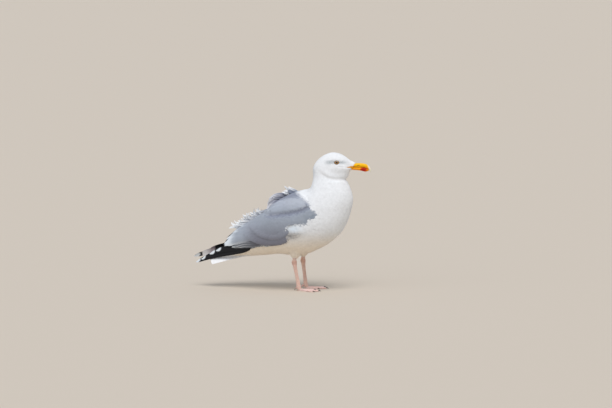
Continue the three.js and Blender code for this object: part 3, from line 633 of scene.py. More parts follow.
# %% Laying feathers on the chart
def lay(leaf, roots, tips, width, low, high, sink=0.0, thick=0.25, camber=0.3, cup=0.25,
        jitter=0.0, sway=0.0, seed=1):
    """Feathers that follow the body. The height over the chart goes from `low` at the root to
    `high` at the tip; the last part of the root dives by `sink`. The edges lie `camber` lower than
    the shaft, and the shading normal leans by `cup` towards each edge. The shaft bows by `sway`,
    and each feather is tipped and twisted at random by about `jitter`. All but `cup` are in mm."""
    draw = np.random.default_rng(seed)
    count = len(roots)
    given = (np.asarray(value, float) for value in (width, low, high, sink))
    width, low, high, sink = (np.broadcast_to(value, count)[:, None] for value in given)
    t, s = leaf.t[None, :], leaf.s[None, :]
    recede = t * (1 - 0.10 * s * s * t)
    run = (tips - roots)[:, None]
    run[..., 1] = (run[..., 1] + np.pi) % (2 * np.pi) - np.pi  # the short way round the ring
    uv = roots[:, None] + run * recede[..., None]
    _, along, round_it, outwards, _ = on_chart(uv)
    forward = unit(along * run[..., :1] + round_it * run[..., 1:])
    across = unit(np.cross(outwards, forward))
    ripple = 0.2 * t * np.sin(11 * t + 0.8 * np.arange(count)[:, None])
    aside = width / 2 * leaf.width * s + sway * (np.sin(np.pi * t) + ripple)
    uv = uv + chart_step(along, round_it, across * aside[..., None])
    p, _, _, outwards, unturned = on_chart(uv)
    height = low + (high - low) * t**0.85 - sink * (1 - t) ** 4 - camber * s * s
    lean = draw.normal(0, jitter, (count, 2))
    height = height + lean[:, :1] * t + lean[:, 1:] * s * 0.6 + leaf.layer * thick / 2
    normal = unit(outwards + across * (s * cup)[..., None] - forward * 0.04)
    return {"leaf": leaf, "points": p + outwards * height[..., None], "normals": normal,
            "unturned": unturned, "place": roots}


def sweep(leaf, path, across, width, thick=0.4, camber=0.5, cup=0.3):
    """Free feathers along paths of points, an (N, K, 3) array, spread along the `across` vectors.
    The vane's top faces along forward x across."""
    across = unit(np.asarray(across, float))
    count, keys, _ = path.shape
    table = path.swapaxes(0, 1).reshape(keys, -1)

    def along_paths(place):
        """Points of all the paths at fractional key numbers, by the cubic through the keys."""
        place = np.clip(place, 0, keys - 1)
        return through(table, place).reshape(len(place), count, 3).swapaxes(0, 1)

    place = leaf.t * (keys - 1)
    centre = along_paths(place)
    forward = unit(along_paths(place + 0.02) - along_paths(place - 0.02))
    side = across if across.ndim == 3 else across[:, None]
    up = unit(np.cross(forward, side))
    side = np.cross(up, forward)
    width = np.broadcast_to(np.asarray(width, float), count)[:, None]
    s = leaf.s[None, :]
    recede = forward * (-0.08 * width * s * s * leaf.t**2)[..., None]
    points = centre + recede + side * (width / 2 * leaf.width * s)[..., None]
    points = points + up * (leaf.layer * thick / 2 - camber * s * s)[..., None]
    return {"leaf": leaf, "points": points, "normals": unit(up + side * (s * cup)[..., None]),
            "place": None}


PATCH = 0.003  # size of a laid feather on the bake map


def bake_place(roots):
    """(u, v) of roots with v counted from the belly line, so that the map's cut runs along it."""
    return np.stack([roots[:, 0], (roots[:, 1] + np.pi / 2) % (2 * np.pi)], -1)


def sew(name, batches, material, replaced=()):
    """One piece from batches of feathers. On its bake map a laid feather is a small patch at its
    root's place on the chart, and a free one fills a cell of its own."""
    points, faces, normals, tints, maps, start = [], [], [], [], [], 0
    free = sum(len(batch["points"]) for batch in batches if batch["place"] is None)
    side = int(np.ceil(np.sqrt(max(free, 1))))
    used = 0
    laid = [bake_place(batch["place"]) for batch in batches if batch["place"] is not None]
    laid = np.vstack(laid) if laid else np.zeros((1, 2))
    for batch in batches:
        leaf, count, size = batch["leaf"], len(batch["points"]), len(batch["leaf"].t)
        patch = np.stack([leaf.t - 0.5, leaf.s / 2], -1)[None]
        if batch["place"] is None:
            cell = used + np.arange(count)
            used += count
            centre = (np.stack([cell % side, cell // side], -1) + 0.5) / side
            patch = patch * 0.9 / side
        else:
            centre = 0.01 + 0.98 * (bake_place(batch["place"]) - laid.min(0)) / np.ptp(laid, 0)
            patch = patch * PATCH
        uv = (centre[:, None] + patch).reshape(-1, 2)
        offsets = (start + size * np.arange(count))[:, None, None]
        for rows, sign in ((leaf.top, 1), (leaf.under, -1)):
            block = (offsets + rows).reshape(-1, 4)
            faces.append(block)
            normals.append(sign * batch["normals"].reshape(-1, 3)[block - start].reshape(-1, 3))
            maps.append(uv[block - start].reshape(-1, 2))
        points.append(batch["points"].reshape(-1, 3))
        tints.append(np.broadcast_to(batch["tint"], batch["points"].shape).reshape(-1, 3))
        start += size * count
    make_piece(name, np.vstack(points), faces, material, replaced, {"tint": np.vstack(tints)},
               np.vstack(maps), np.vstack(normals))


def shaded(tint, count, spread, seed):
    """A colour for each feather, each a little lighter or darker than the next."""
    draw = np.random.default_rng(seed)
    return np.asarray(tint) * (1 + draw.uniform(-spread, spread, count))[:, None, None]


# %% [markdown]
# ## The coat
# The body's small feathers are scattered roots that keep their distance from each other, so the
# rows look grown and not printed. The distance grows from less than 2 mm on the face to 4 mm on the
# back, and each feather is a little more than four distances long. They point the way the chart
# runs, from the bill towards the tail, but down the thighs, and up over the wing's edge at the
# flank, where they stand out as a tuft.

# %% Scatter the roots
def spacing(p):
    """Distance between neighbouring roots in mm, zero where no small feather grows."""
    x, y, z = p[..., 0], p[..., 1], p[..., 2]
    gap = 3.6 - 0.4 * step(z, 180, 240) - 0.6 * step(z, 262, 300) - 0.6 * step(z, 298, 315)
    gap = gap - 0.4 * step(x, 96, 125) * step(z, 300, 310)
    grey = greyness(p) > 0.5
    gap = np.where(grey, 4.0, gap)
    eye = np.hypot((x - EYE[0]) / 1.4, z - EYE[1]) < 4.4
    gape = (x > 126) & (np.abs(z - 328.9) < 0.5 + np.interp(x, [126, 133, 143], [0, 2.0, 4.6]))
    long_feathers = depth_inside(x, z, LONG_FEATHERS) > np.where(grey & (z < 130), -3.5, 0)
    tail = x < np.where(grey, -222, -200 - 4 * np.sin(y / 2))
    return np.where(((eye | gape) & (z > 300)) | long_feathers | tail, 0, gap)


LONG_FEATHERS = [  # outline of the area that the long feathers of the wing cover
    (-30, 130), (-32, 146), (-52, 146), (-84, 150), (-112, 162), (-128, 185), (-150, 175),
    (-244, 112), (-244, 76), (-206, 86), (-186, 91), (-160, 98), (-144, 102.5), (-126, 107),
    (-92, 115), (-58, 117.5), (-40, 120),
]


def scatter(candidates, seed):
    """Roots as (u, v). Candidates fall on the chart with a density of 1 over the squared spacing.
    In random order, each one left takes out its neighbours within its own spacing."""
    draw = np.random.default_rng(seed)
    area = np.linalg.norm(np.cross(CHART[..., 3:6], CHART[..., 6:9]), axis=-1)
    gap = spacing(CHART[..., 12:])
    weight = np.where(gap > 0, area / np.maximum(gap, 0.1) ** 2, 0)[:-1]
    total = np.cumsum(weight)
    cell = np.searchsorted(total, draw.uniform(0, total[-1], candidates))
    row, spot = np.divmod(cell, CHART_SPOTS)
    uv = np.stack([(row + draw.uniform(0, 1, candidates)) / CHART_ROWS,
                   (spot + draw.uniform(0, 1, candidates)) * 2 * np.pi / CHART_SPOTS], -1)
    p, _, _, _, unturned = on_chart(uv)
    gap = spacing(unturned)
    tree = KDTree(candidates)
    for i, point in enumerate(p.tolist()):
        tree.insert(point, i)
    tree.balance()
    left = gap > 0
    kept = []
    for i, point in enumerate(p.tolist()):
        if left[i]:
            kept.append(i)
            for _, other, _ in tree.find_range(point, gap[i]):
                left[other] = False
    return uv[kept]


roots = scatter(120000, seed=11)
print("roots of small feathers:", len(roots))

# %% Lay the small feathers
def grown(roots, seed):
    """One batch of small feathers, each sized and aimed by the place of its root."""
    draw = np.random.default_rng(seed)
    count = len(roots)
    _, along, round_it, outwards, unturned = on_chart(roots)
    x, z = unturned[:, 0], unturned[:, 2]
    gap = spacing(unturned)
    grey = greyness(unturned)
    aim = -unit(along)
    thigh = step(thigh_drop(unturned), 0.5, 5)[:, None]
    aim = unit(aim * (1 - thigh) + np.array([-0.25, 0, -1.0]) * thigh)
    tuft = step(1 - np.hypot((x - 4) / 32, (z - 163) / 18), -0.05, 0.35) * (z < 200)
    aim = unit(aim * (1 - tuft[:, None]) + np.array([-0.85, 0, 0.55]) * tuft[:, None])
    aim = aim - outwards * (aim * outwards).sum(-1, keepdims=True)
    side = np.cross(outwards, aim)
    aim = unit(aim + side * (draw.normal(0, 1, count) * (0.13 - 0.06 * grey))[:, None])
    from_eye = np.stack([x - EYE[0], 0 * x, z - EYE[1]], -1)
    near_eye = bell(np.maximum(np.hypot(from_eye[:, 0] / 1.4, from_eye[:, 2]) - 4.5, 0), 3) * (z > 300)
    aim = unit(aim + 1.2 * near_eye[:, None] * unit(from_eye * [0.3, 0, 1]))
    size = draw.uniform(0.88, 1.12, count) * (1 - 0.6 * near_eye * (from_eye[:, 0] > -3))
    length = size * gap * (4.3 + 0.4 * tuft)
    width = size * gap * (2.4 + 0.1 * grey - 0.4 * tuft)
    depth = coat_depth(unturned)
    tips = roots + chart_step(along, round_it, aim * length[:, None])
    tips[:, 0] = np.clip(tips[:, 0], 0.002, 0.999)
    low = -0.14 * np.minimum(depth, 6)
    high = 0.05 + 0.03 * gap + 0.4 * tuft + 0.12 * grey
    batch = lay(PLUME, roots, tips, width, low, high, sink=0.3 * depth, thick=0.13, camber=0.1,
                cup=0.12, jitter=0.03, seed=seed)
    tip_points = on_chart(roots + 0.6 * (tips - roots))[4]
    tint = plumage_tint(tip_points) * draw.uniform(0.965, 1.02, (count, 1))
    batch["tint"] = tint[:, None] * (1 + 0.03 * (PLUME.t[None, :, None] - 0.5))
    return batch


unturned = on_chart(roots)[4]
grey = greyness(unturned) > 0.5
high_up = unturned[:, 2]
left_side = unturned[:, 1] > 0
lobe = depth_inside(unturned[:, 0], unturned[:, 2], SCAPULARS) > -1
in_wing = depth_inside(unturned[:, 0], unturned[:, 2], WING) > -1
WHITE_COATS = {"head": (300, 400), "neck": (215, 300), "breast": (150, 215), "belly": (0, 150)}  # z
for name, (low, high) in WHITE_COATS.items():
    chosen = ~grey & (high_up > low) & (high_up <= high)
    sew(f"{name}_feathers", [grown(roots[chosen], 21)], PLUMAGE)
mantle = grey & ~lobe & ~in_wing
sew("mantle_feathers", [grown(roots[mantle], 22)], PLUMAGE)


# %% [markdown]
# ## Folded wings
# Each wing lies over the flank like a fan of roof tiles. From the belly upwards come the
# secondaries, the lowest of them with pale, wavy edges, and then the tertials, which cover them
# from above and end in a broad white crescent. The coverts overlap their roots in rows: greater,
# median, and the small ones scattered over the shoulder. The scapulars form their own lobe over the
# wing's upper edge.

# %% Place the long feathers of the wings
SIDES = ((-1, "right"), (1, "left"))
TERTIALS = [  # root x, root z, tip x, tip z, width
    (-95, 146, -208, 112, 20), (-86, 153, -210, 116, 27), (-76, 168, -203, 130, 28),
    (-66, 182, -188, 146, 27), (-60, 195, -170, 163, 26), (-60, 207, -150, 181, 25),
]
TERTIAL_WHITE = [0.82, 0.82, 0.87, 0.91, 0.94, 0.96]  # share of its length where each turns white
SECONDARY_TIPS = [
    (-60, 120), (-78, 117), (-96, 113.5), (-112, 110), (-128, 107), (-144, 105.5), (-160, 105.5),
    (-174, 106), (-187, 107),
]
GREATER_TIPS = [(-26, 129), (-45, 123), (-72, 121), (-100, 124), (-128, 133), (-150, 146)]
MEDIAN_TIPS = [(-19, 152), (-36, 143), (-62, 139), (-90, 142), (-114, 153), (-133, 168)]
REAR_SCAPULARS = [  # root x, root z, tip x, tip z, width
    (-34, 212, -92, 200, 18), (-40, 220, -100, 206, 20), (-40, 229, -100, 213, 22),
    (-36, 238, -92, 222, 22), (-30, 246, -80, 232, 22), (-20, 216, -74, 203, 18),
    (-18, 226, -74, 213, 20), (-14, 236, -66, 226, 20),
]
EDGE_QUILLS = [  # the lowest secondaries, whose edges show: root x, root z, tip x, tip z, width
    (-84, 113, -178, 103.5, 10), (-86, 116.5, -183, 106.5, 10), (-88, 120.5, -187, 110, 10),
    (-90, 125, -190, 114, 10), (-92, 130, -191, 118.5, 11),
]
WING_WHITE = linear("#e0e9f0")
PALE_EDGE = linear("#dfe4ea")
QUILL_BLACK = linear("#121215")


def folded(leaf, table, side, low, high, white_from, seed, shade=1.0, rim=0.3, rim_from=0.4, **more):
    """A batch of long feathers laid on one side from rows of root x and z, tip x and z and width.
    Beyond the share `white_from` of its length each is white. `shade` scales its grey; below 1 it
    is painted shade. `rim` is how much its edges pale."""
    table = np.asarray(table, float)
    roots, tips = locate(table[:, :2], side), locate(table[:, 2:4], side)
    batch = lay(leaf, roots, tips, table[:, 4], low, high, seed=seed, **more)
    count = len(table)
    white_from = np.broadcast_to(np.asarray(white_from, float), count)[:, None]
    t = leaf.t[None, :] + 0.02 * leaf.s[None, :] ** 2
    white = step(t, white_from - 0.09, white_from + 0.07)
    tint = mix(grey_tint(batch["unturned"]) * shade, WING_WHITE, white)
    edge = rim * step(np.abs(leaf.s)[None, :], rim_from, 0.9) * step(t, 0.35, 0.75)
    batch["tint"] = shaded(mix(tint, PALE_EDGE, edge), count, 0.035, seed)
    return batch


def from_tips(tips, count, length, width, front, rear):
    """Rows of root, tip and width from a line of tips. The way back to a root is `front` degrees
    above straight ahead for the first feather and turns to `rear` degrees by the middle of the line.
    No root lies further forward than the wing's front edge."""
    tips = even(tips, count)
    angle = np.radians(rear + (front - rear) * step(np.linspace(0, 1, count), 0.5, 0))
    length = np.minimum(length, (-22 - tips[:, 0]) / np.maximum(np.cos(angle), 0.1))
    back = np.maximum(length, 26)[:, None] * np.stack([np.cos(angle), np.sin(angle)], -1)
    return np.column_stack([tips + back, tips, np.full(count, width)])


for side, name in SIDES:
    secondaries = from_tips(SECONDARY_TIPS, 15, 81, 15, 9, 9)
    whites = np.where(secondaries[:, 2] < -70, 0.9, 1.2)
    greater = from_tips(GREATER_TIPS, 15, 44, 18, 92, 21)
    median = from_tips(MEDIAN_TIPS, 16, 28, 15, 95, 22)
    rising = 0.3 * np.arange(len(EDGE_QUILLS))
    shift = np.array([0, 0, -11, 1, 0]) * (side > 0)  # the left wing's crescent ends further back
    long_ones = [
        # The secondaries are darkened by `shade`: painted shade under the feathers that cover them and
        # between their pale edges.
        folded(QUILL, secondaries, side, -3.2, -1.6, whites, 31, shade=0.62),
        folded(QUILL, EDGE_QUILLS, side, -3.0 + rising, -1.5 + rising, 0.95, 36,
               shade=0.5, rim=1.2, rim_from=0.5, sway=5.0 * side),
        folded(COVERT, TERTIALS + shift, side, -1.4, 1.0, TERTIAL_WHITE, 32, rim=0.5, camber=0.8),
        folded(COVERT, greater, side, -1.4, 0.5, 1.2, 33, rim=0.06, camber=0.5),
        folded(COVERT, median, side, -0.4, 1.0, 1.2, 34, rim=0.06, camber=0.4),
    ]
    small = grey & in_wing & ~lobe & (left_side == (side > 0))
    small_batch = grown(roots[small], 23)
    sew(f"wing_{name}_coverts", [*long_ones, small_batch], PLUMAGE, (f"wing_{name}",))
    rear = folded(COVERT, REAR_SCAPULARS, side, -0.5, 1.3, 1.2, 35, camber=0.5)
    rear["tint"] = rear["tint"] * 1.08
    small = grey & lobe & (left_side == (side > 0))
    lobe_batches = [rear, grown(roots[small], 24)]
    sew(f"scapular_feathers_{name}", lobe_batches, PLUMAGE, (f"scapulars_{name}",))

# %% [markdown]
# ## Wing tips and tail
# The primaries reach past the tail. Six blades show on each side, black and mostly with a small
# white spot at the tip. The longest two of the left wing also show a large white patch.
# They are stiff blades on their own curves, bowed a little like the real ones. Under them lies the
# white tail of twelve feathers, the middle pair on top.

# %% Make the primaries and the tail
HAND = [  # x, distance from the middle plane, z on the right, z on the left, half-height
    (-84, 45, 131, 131, 2), (-112, 43.5, 121, 121, 3), (-130, 41.5, 114.5, 115, 5),
    (-150, 38.5, 108, 110, 8), (-190, 31, 102, 107, 11.5), (-226, 22, 95, 104, 11.5),
    (-258, 14, 85.5, 98, 9.2), (-280, 9, 76.5, 91, 6.8), (-294, 7, 70, 86.5, 4.6),
    (-308, 6, 62, 82, 2.5),
]
HAND_TIPS = {-1: [-295, -279, -253, -233, -206, -186], 1: [-306, -292, -266, -236, -214, -192]}
WHITE_TIPS = {-1: [13, 13, 15, 14, 0, 0], 1: [17, 6, 6, 10, 8, 8]}  # mm of each blade's tip
TIP_SLANT = 3.5  # mm that each blade's lower edge reaches further back than its upper edge
HAND_RISE = [-0.5, -0.2, 0.4, 0.68, 0.75, 0.8]  # height of each blade on the hand, in half-heights


def primaries(side):
    """Six blades of one wing tip. Blade i runs along the folded hand at a height that rises from
    the lower edge for the longest to the upper edge for the shortest."""
    table = np.array(HAND, float)
    tips = np.array(HAND_TIPS[side], float)
    count = len(tips)
    share = np.arange(count) / (count - 1)
    along = np.linspace(0, 1, 10)
    x = HAND[0][0] + (tips - HAND[0][0])[:, None] * along
    columns = (1, 2 if side < 0 else 3, 4)
    out, z, half = (np.interp(-x, -table[:, 0], table[:, column]) for column in columns)
    z = z + half * np.array(HAND_RISE)[:, None] * step(along, 0, 0.5)
    z = z - 1.5 * along**3 * (1 - share[:, None])
    y = side * (out + 0.9 * share[:, None] + 1.0)
    path = np.stack([x, y, z], -1)
    t = PRIMARY.t[None, :]
    lean = 0.45 - 1.1 * step(t, 0.45, 0.1)
    across = side * np.stack([0 * lean, -side * lean, 1 + 0 * lean], -1)
    across = np.broadcast_to(across, (count, *across.shape[1:]))
    batch = sweep(PRIMARY, path, across, 17 - 2 * share, thick=0.6, camber=0.8)
    batch["points"][..., 0] += side * TIP_SLANT * PRIMARY.s * step(t, 0.86, 1)
    to_tip = (1 - t) * (HAND[0][0] - tips)[:, None]
    reach = np.array(WHITE_TIPS[side])[:, None]
    white = step(reach * (1 - 0.3 * PRIMARY.s[None, :] ** 2) - to_tip, -0.8, 0.8) * (reach > 0)
    batch["tint"] = mix(QUILL_BLACK, linear("#e2e9ee"), white)
    if side > 0:
        reached = batch["points"][..., 0]
        patch = step(reached, -285.5, -282.5) * step(-reached, 248, 253) * (share[:, None] < 0.5)
        mirror = mix(linear("#eeeef0"), linear("#b3a6aa"), step(reached, -276, -256))
        batch["tint"] = mix(batch["tint"], mirror, patch)
    return batch


# Black barbs hold more pigment and a smoother surface: they keep a soft sheen along the vane.
QUILL_SURFACE = tinted("dark flight feathers", 0.06, 14, Roughness=0.55, Specular_IOR_Level=0.3)[0]
for side, name in SIDES:
    sew(f"primaries_{name}", [primaries(side)], QUILL_SURFACE, (f"wingtip_{name}",))

TAIL = [(-112, 105), (-160, 97.5), (-200, 89.5), (-230, 82), (-248, 78), (-257, 76)]
TAIL_SPREAD = [0.65, 0.82, 0.96, 1.03, 1.05, 1.08]
order = np.arange(12)
number = order // 2  # 0 for the middle pair
lean = np.where(order % 2 == 0, 1.0, -1.0)  # left, right
line = np.array(TAIL, float)
drop = 0.45 * number + 0.175 * number**2 + 0.1 * (lean > 0)
back = line[:, 0] + (1.6 * number**1.1)[:, None] * np.linspace(0, 1, len(line))
aside = (lean * (1.5 + 4.2 * number))[:, None] * TAIL_SPREAD
path = np.stack([back, aside, line[:, 1] - drop[:, None]], -1)
tilt = np.radians(6 + 7 * number)
across = np.stack([0 * lean, -np.cos(tilt), lean * np.sin(tilt)], -1)
rectrices = sweep(RECTRIX, path, across, 24, thick=0.6, camber=1.0, cup=0.03)
rectrices["tint"] = shaded(linear("#f4f5f6"), 12, 0.015, 41)
sew("tail_feathers", [rectrices], PLUMAGE, ("tail",))

# %% [markdown]
# ## What the wind lifts
# The wind comes from behind and gets under the loose feathers of the back. Between the shoulders a
# few stand up as a tuft, behind it a group arches up and curls over, and along the inner edge of the
# wing a ragged fringe of long narrow ones ends in little hooks. A few paths give the form of each
# group, and the feathers in between follow the same cubic, each a little off its neighbours.

# %% Make the lifted feathers
def fan(keys, count, wobble, seed):
    """Paths for `count` feathers between a few given paths, as an (N, K, 3) array. Each is moved by
    a random step that grows from its root to its tip, where it is about `wobble` mm."""
    draw = np.random.default_rng(seed)
    keys = np.array(keys, float)
    paths = even(keys.reshape(len(keys), -1), count).reshape(count, -1, 3)
    growth = np.linspace(0.3, 1, paths.shape[1])[:, None]
    return paths + draw.normal(0, 1, (count, 1, 3)) * wobble * growth


def lifted(leaf, paths, width, tilt, root_tint, tip_tint, seed):
    """A batch of free feathers along paths. Their tops face up, and by `tilt` degrees to the right."""
    tilt = np.radians(np.broadcast_to(tilt, len(paths)))
    across = np.stack([0 * tilt, -np.cos(tilt), -np.sin(tilt)], -1)
    batch = sweep(leaf, paths, across, width, thick=0.3, camber=0.7, cup=0.3)
    share = step(leaf.t + 0.3 * np.abs(leaf.s) - 0.1, 0.3, 1.05)
    batch["tint"] = shaded(mix(linear(root_tint), linear(tip_tint), share), len(paths), 0.12, seed)
    return batch


NAPE_SPIKES = [
    [(-4, -1, 255), (-15, -1, 262), (-26, -1, 267), (-38, -1, 272.5)],
    [(-10, -3, 254), (-20, -3, 259), (-30, -3, 263.5), (-40, -3, 266)],
    [(-12, -5, 254), (-26, -5, 262), (-39, -5, 268.5), (-49, -5, 276)],
    [(-13, -7, 252), (-25, -8, 257.5), (-35, -9, 261.5), (-43, -9, 264)],
    [(-16, -9, 250), (-28, -11, 255.5), (-40, -12, 259), (-50, -12, 260.5)],
    [(-20, -10, 248), (-30, -13, 252), (-38, -14, 254), (-45, -14, 254)],
]
# A few dark feathers under the tuft stand in for the shade inside it: their dark grey is painted shade.
NAPE_SHADOW_FEATHERS = [
    [(-2, -8, 251), (-13, -11, 256.5), (-24, -12, 260.5), (-35, -13, 264)],
    [(2, -11, 249.5), (-9, -14, 253.5), (-20, -15, 256.5), (-31, -16, 257.5)],
]
paths = fan(NAPE_SPIKES, 18, [1.2, 2.0, 0.9], 51)
spikes = lifted(QUILL, paths, 5.2, np.linspace(65, 30, 18), "#8d95a4", "#f6f8fa", 52)
paths = fan(NAPE_SHADOW_FEATHERS, 8, [1.5, 1.2, 1.0], 53)
painted_tuft_shadow = lifted(QUILL, paths, 6.5, np.linspace(40, 60, 8), "#434b5d", "#7d8597", 54)
sew("nape_tuft_feathers", [spikes, painted_tuft_shadow], PLUMAGE, ("nape_tuft",))

WAVE_TOP = [
    [(-26, 12, 247), (-46, 13, 252), (-66, 13, 249), (-80, 14, 243)],
    [(-24, 4, 249), (-46, 4, 254), (-68, 3, 250.5), (-84, 3, 242)],
    [(-26, -4, 248), (-50, -6, 253.5), (-73, -7, 249.5), (-88, -8, 239)],
    [(-32, -8, 245.5), (-58, -11, 251.5), (-79, -12, 246), (-90, -13, 233)],
    [(-40, -9, 242), (-66, -13, 247.5), (-84, -14, 240), (-90.5, -15, 223)],
    [(-48, -9, 236), (-70, -14, 240), (-84.5, -16, 232), (-89, -17, 216)],
    [(-54, -13, 233), (-68, -18, 234.5), (-80, -20, 227), (-87, -21, 214)],
]
WAVE_UNDER = [
    [(-36, 14, 239), (-62, 15, 241), (-80, 15, 234), (-89, 14, 220)],
    [(-42, 2, 238), (-68, 2, 241), (-85, 2, 232), (-92, 2, 218)],
]
paths = fan(WAVE_TOP, 30, [1.8, 1.5, 1.4], 55)
# Dark roots of the arching feathers: painted shade inside the lifted group.
top = lifted(COVERT, paths, 10.5, np.linspace(10, 70, 30), "#747889", "#e6e7ec", 56)
under = lifted(COVERT, fan(WAVE_UNDER, 10, [2, 3, 2], 57), 18, 60, "#9b9ca8", "#d3d1d8", 58)
sew("back_wave_feathers", [top, under], PLUMAGE, ("back_wave",))

FRINGE = [
    [(-80, -13, 217), (-95, -15, 209), (-108, -16, 203), (-118, -16, 204), (-123, -16, 211)],
    [(-84, -10, 212), (-104, -12, 199), (-122, -13, 193), (-136, -13, 195), (-143, -12, 204)],
    [(-92, -8, 207), (-114, -11, 194), (-134, -12, 186), (-149, -12, 187), (-156, -11, 196)],
    [(-98, -6, 203), (-122, -9, 189), (-144, -11, 179), (-162, -11, 176), (-171, -10, 183)],
    [(-104, -4, 198), (-130, -8, 184), (-156, -9, 170), (-174, -9, 167), (-184, -8, 172)],
    [(-110, -2, 193), (-138, -5, 178), (-164, -6, 164), (-184, -5, 160), (-196, -4, 166)],
]
FRINGE_COUNT = 60
draw = np.random.default_rng(59)
paths = fan(FRINGE, FRINGE_COUNT, [6.5, 2.4, 3.2], 60)
straight = 2 * paths[:, 3] - paths[:, 2]
hooked = draw.uniform(0, 1, FRINGE_COUNT) < 0.25
share = np.where(hooked, -0.4, draw.uniform(0.1, 1.2, FRINGE_COUNT))[:, None]
paths[:, 4] += share * (straight - paths[:, 4]) * [0.6, 1, 0.9]
reach = draw.uniform(0.68, 1.08, FRINGE_COUNT)[:, None, None]
paths = paths[:, :1] + (paths - paths[:, :1]) * reach ** (np.linspace(0, 1, 5) ** 2)[:, None]
far = draw.uniform(0, 22, FRINGE_COUNT) * (np.arange(FRINGE_COUNT) % 2)
paths[..., 1] += far[:, None]
width = draw.uniform(3.6, 6.6, FRINGE_COUNT)
turn = draw.uniform(30, 75, FRINGE_COUNT)
near = lifted(QUILL, paths, width, turn, "#9da3b0", "#f1f4f6", 61)
LEFT_TERTIAL = [[(-180, 18, 140), (-198, 22, 137), (-210, 24, 133), (-221, 25, 125)]]
beyond = lifted(COVERT, np.array(LEFT_TERTIAL, float), 13, 30, "#c9d0da", "#f6f8fa", 62)
sew("tertial_fringe_feathers", [near, beyond], PLUMAGE, ("tertial_fringe",))


# %% [markdown]
# ## Bill
# Two halves of horn over bone. The upper one ends in a hook that closes over the lower one, and the
# lower one is deepest at the gonys, where the adult's red spot is. Rings along the bill carry the
# culmen's ridge, the slot of the nostril and the sharp cutting edges. The yellow deepens to orange
# at the root and fades to a pale horn colour at the tip.

# %% Lay out the bill
UPPER = [  # x, top, bottom, half-width
    (117, 335, 329, 8), (124, 337, 328.8, 9), (134, 338.4, 328.6, 7.9), (145, 338.9, 328.5, 6.7),
    (157, 339.2, 328.5, 5.8), (167, 338.4, 327.8, 5.2), (174.5, 336.1, 325.6, 4.6),
    (180.3, 332.0, 322.0, 3.8), (184.2, 326.6, 318.4, 2.7), (185.8, 320.6, 315.8, 1.3),
]
LOWER = [
    (119, 329, 324.5, 7), (127, 328.9, 322.8, 7.6), (136, 328.9, 321.4, 6.9), (147, 328.9, 320.6, 5.9),
    (158, 328.8, 319.6, 5.1), (166, 328.2, 318, 4.7), (171, 327.0, 317, 4.4), (175.5, 325.2, 317.8, 3.7),
    (179.8, 322.4, 319.2, 2.0),
]


def mandible(table, ridge):
    """Rings of one half of the bill: a superellipse of power 2.3 whose top narrows to a ridge or
    whose bottom narrows to a keel."""
    ring = even(table, 150)
    side, rise = superellipse(circle(72), 2.3)
    side = side * (1 - 0.28 * np.clip(rise * ridge, 0, 1) ** 2)
    x, top, bottom, half = (ring[:, k : k + 1] for k in range(4))
    return np.stack([x + 0 * side, half * side, (top + bottom) / 2 + (top - bottom) / 2 * rise], -1)


def horn_tint(p):
    """Bill colours: orange at the root, yellow, lighter on top as a painted highlight, a red spot over
    the gonys, a pale tip, a painted shadow where the halves meet near the tip and painted shade in
    the nostril's slot.
    """
    x, z = p[..., 0], p[..., 2]
    # Yellower on top, more orange below: the bill's own yellow, with a painted highlight on top.
    tint = mix(linear("#fb9f00"), linear("#ffc400"), step(z, 322, 336))
    tint = mix(tint, linear("#ee8c00"), 0.75 * step(x, 150, 128))
    tint = mix(tint, linear("#f3ead2"), step(x + 0.35 * (z - 326), 178.5, 182.5))
    spot = np.hypot((x - 167) / 9.5, (z - 322.6) / 6.2)
    tint = mix(tint, linear("#e04c06"), 0.85 * step(spot, 1.2, 0.8))
    tint = mix(tint, linear("#bc1c04"), step(spot, 0.9, 0.55))
    # A dark line where the halves meet near the tip: painted shade in the crack.
    seam = np.abs(z - np.interp(x, [117, 160, 167, 174.5, 186], [328.7, 328.6, 328, 326, 319]))
    tint = mix(tint, linear("#a8560a"), 0.75 * step(seam, 0.8, 0.2) * step(x, 182, 174))
    # The nostril's slot is painted dark brown: painted shade in the opening.
    slot = np.hypot((x - 153.5 - 0.2 * (z - 334)) / 4.8, (z - 333.8 - 0.05 * (x - 154)) / 1.05)
    return mix(tint, linear("#6a430a"), 0.7 * step(slot, 1.05, 0.7)), slot


# %% Make the bill
# Horn is smooth and a little translucent at the surface: a satin gloss with a sharp highlight. Its
# growth marks are about 2.4 mm apart, so 420 to the metre, and only just felt.
HORN, horn_nodes, horn_shader, horn_where = tinted(
    "smooth horn", 0.06, 6, Roughness=0.42, IOR=1.54, Specular_IOR_Level=0.2,
    Subsurface_Weight=0.1, Subsurface_Radius=(0.004, 0.002, 0.001), Subsurface_Scale=0.4)
growth = add_node(
    horn_nodes, "TexNoise", [("Vector", horn_where.outputs["Object"])], Scale=420.0, Detail=4.0)
fine = add_node(
    horn_nodes, "Bump", [("Height", growth.outputs["Fac"])], Strength=0.15, Distance=0.0003)
HORN.node_tree.links.new(fine.outputs["Normal"], horn_shader.inputs["Normal"])

for name, table, ridge in (("upper", UPPER, 1), ("lower", LOWER, -1)):
    rings = mandible(table, ridge)
    tint, slot = horn_tint(rings)
    if name == "upper":  # the nostril is pressed in, and the cutting edge stands out
        rings[..., 1] *= 1 - 0.16 * step(slot, 1.15, 0.5)
        from_edge = rings[..., 2] - np.interp(rings[..., 0], [117, 160, 185], [329, 329, 318.5])
        rings[..., 1] *= 1 + 0.05 * bell(from_edge, 1.2)
    tube_piece(f"bill_{name}_half", turned(rings, 1), tint, HORN, (f"bill_{name}",))


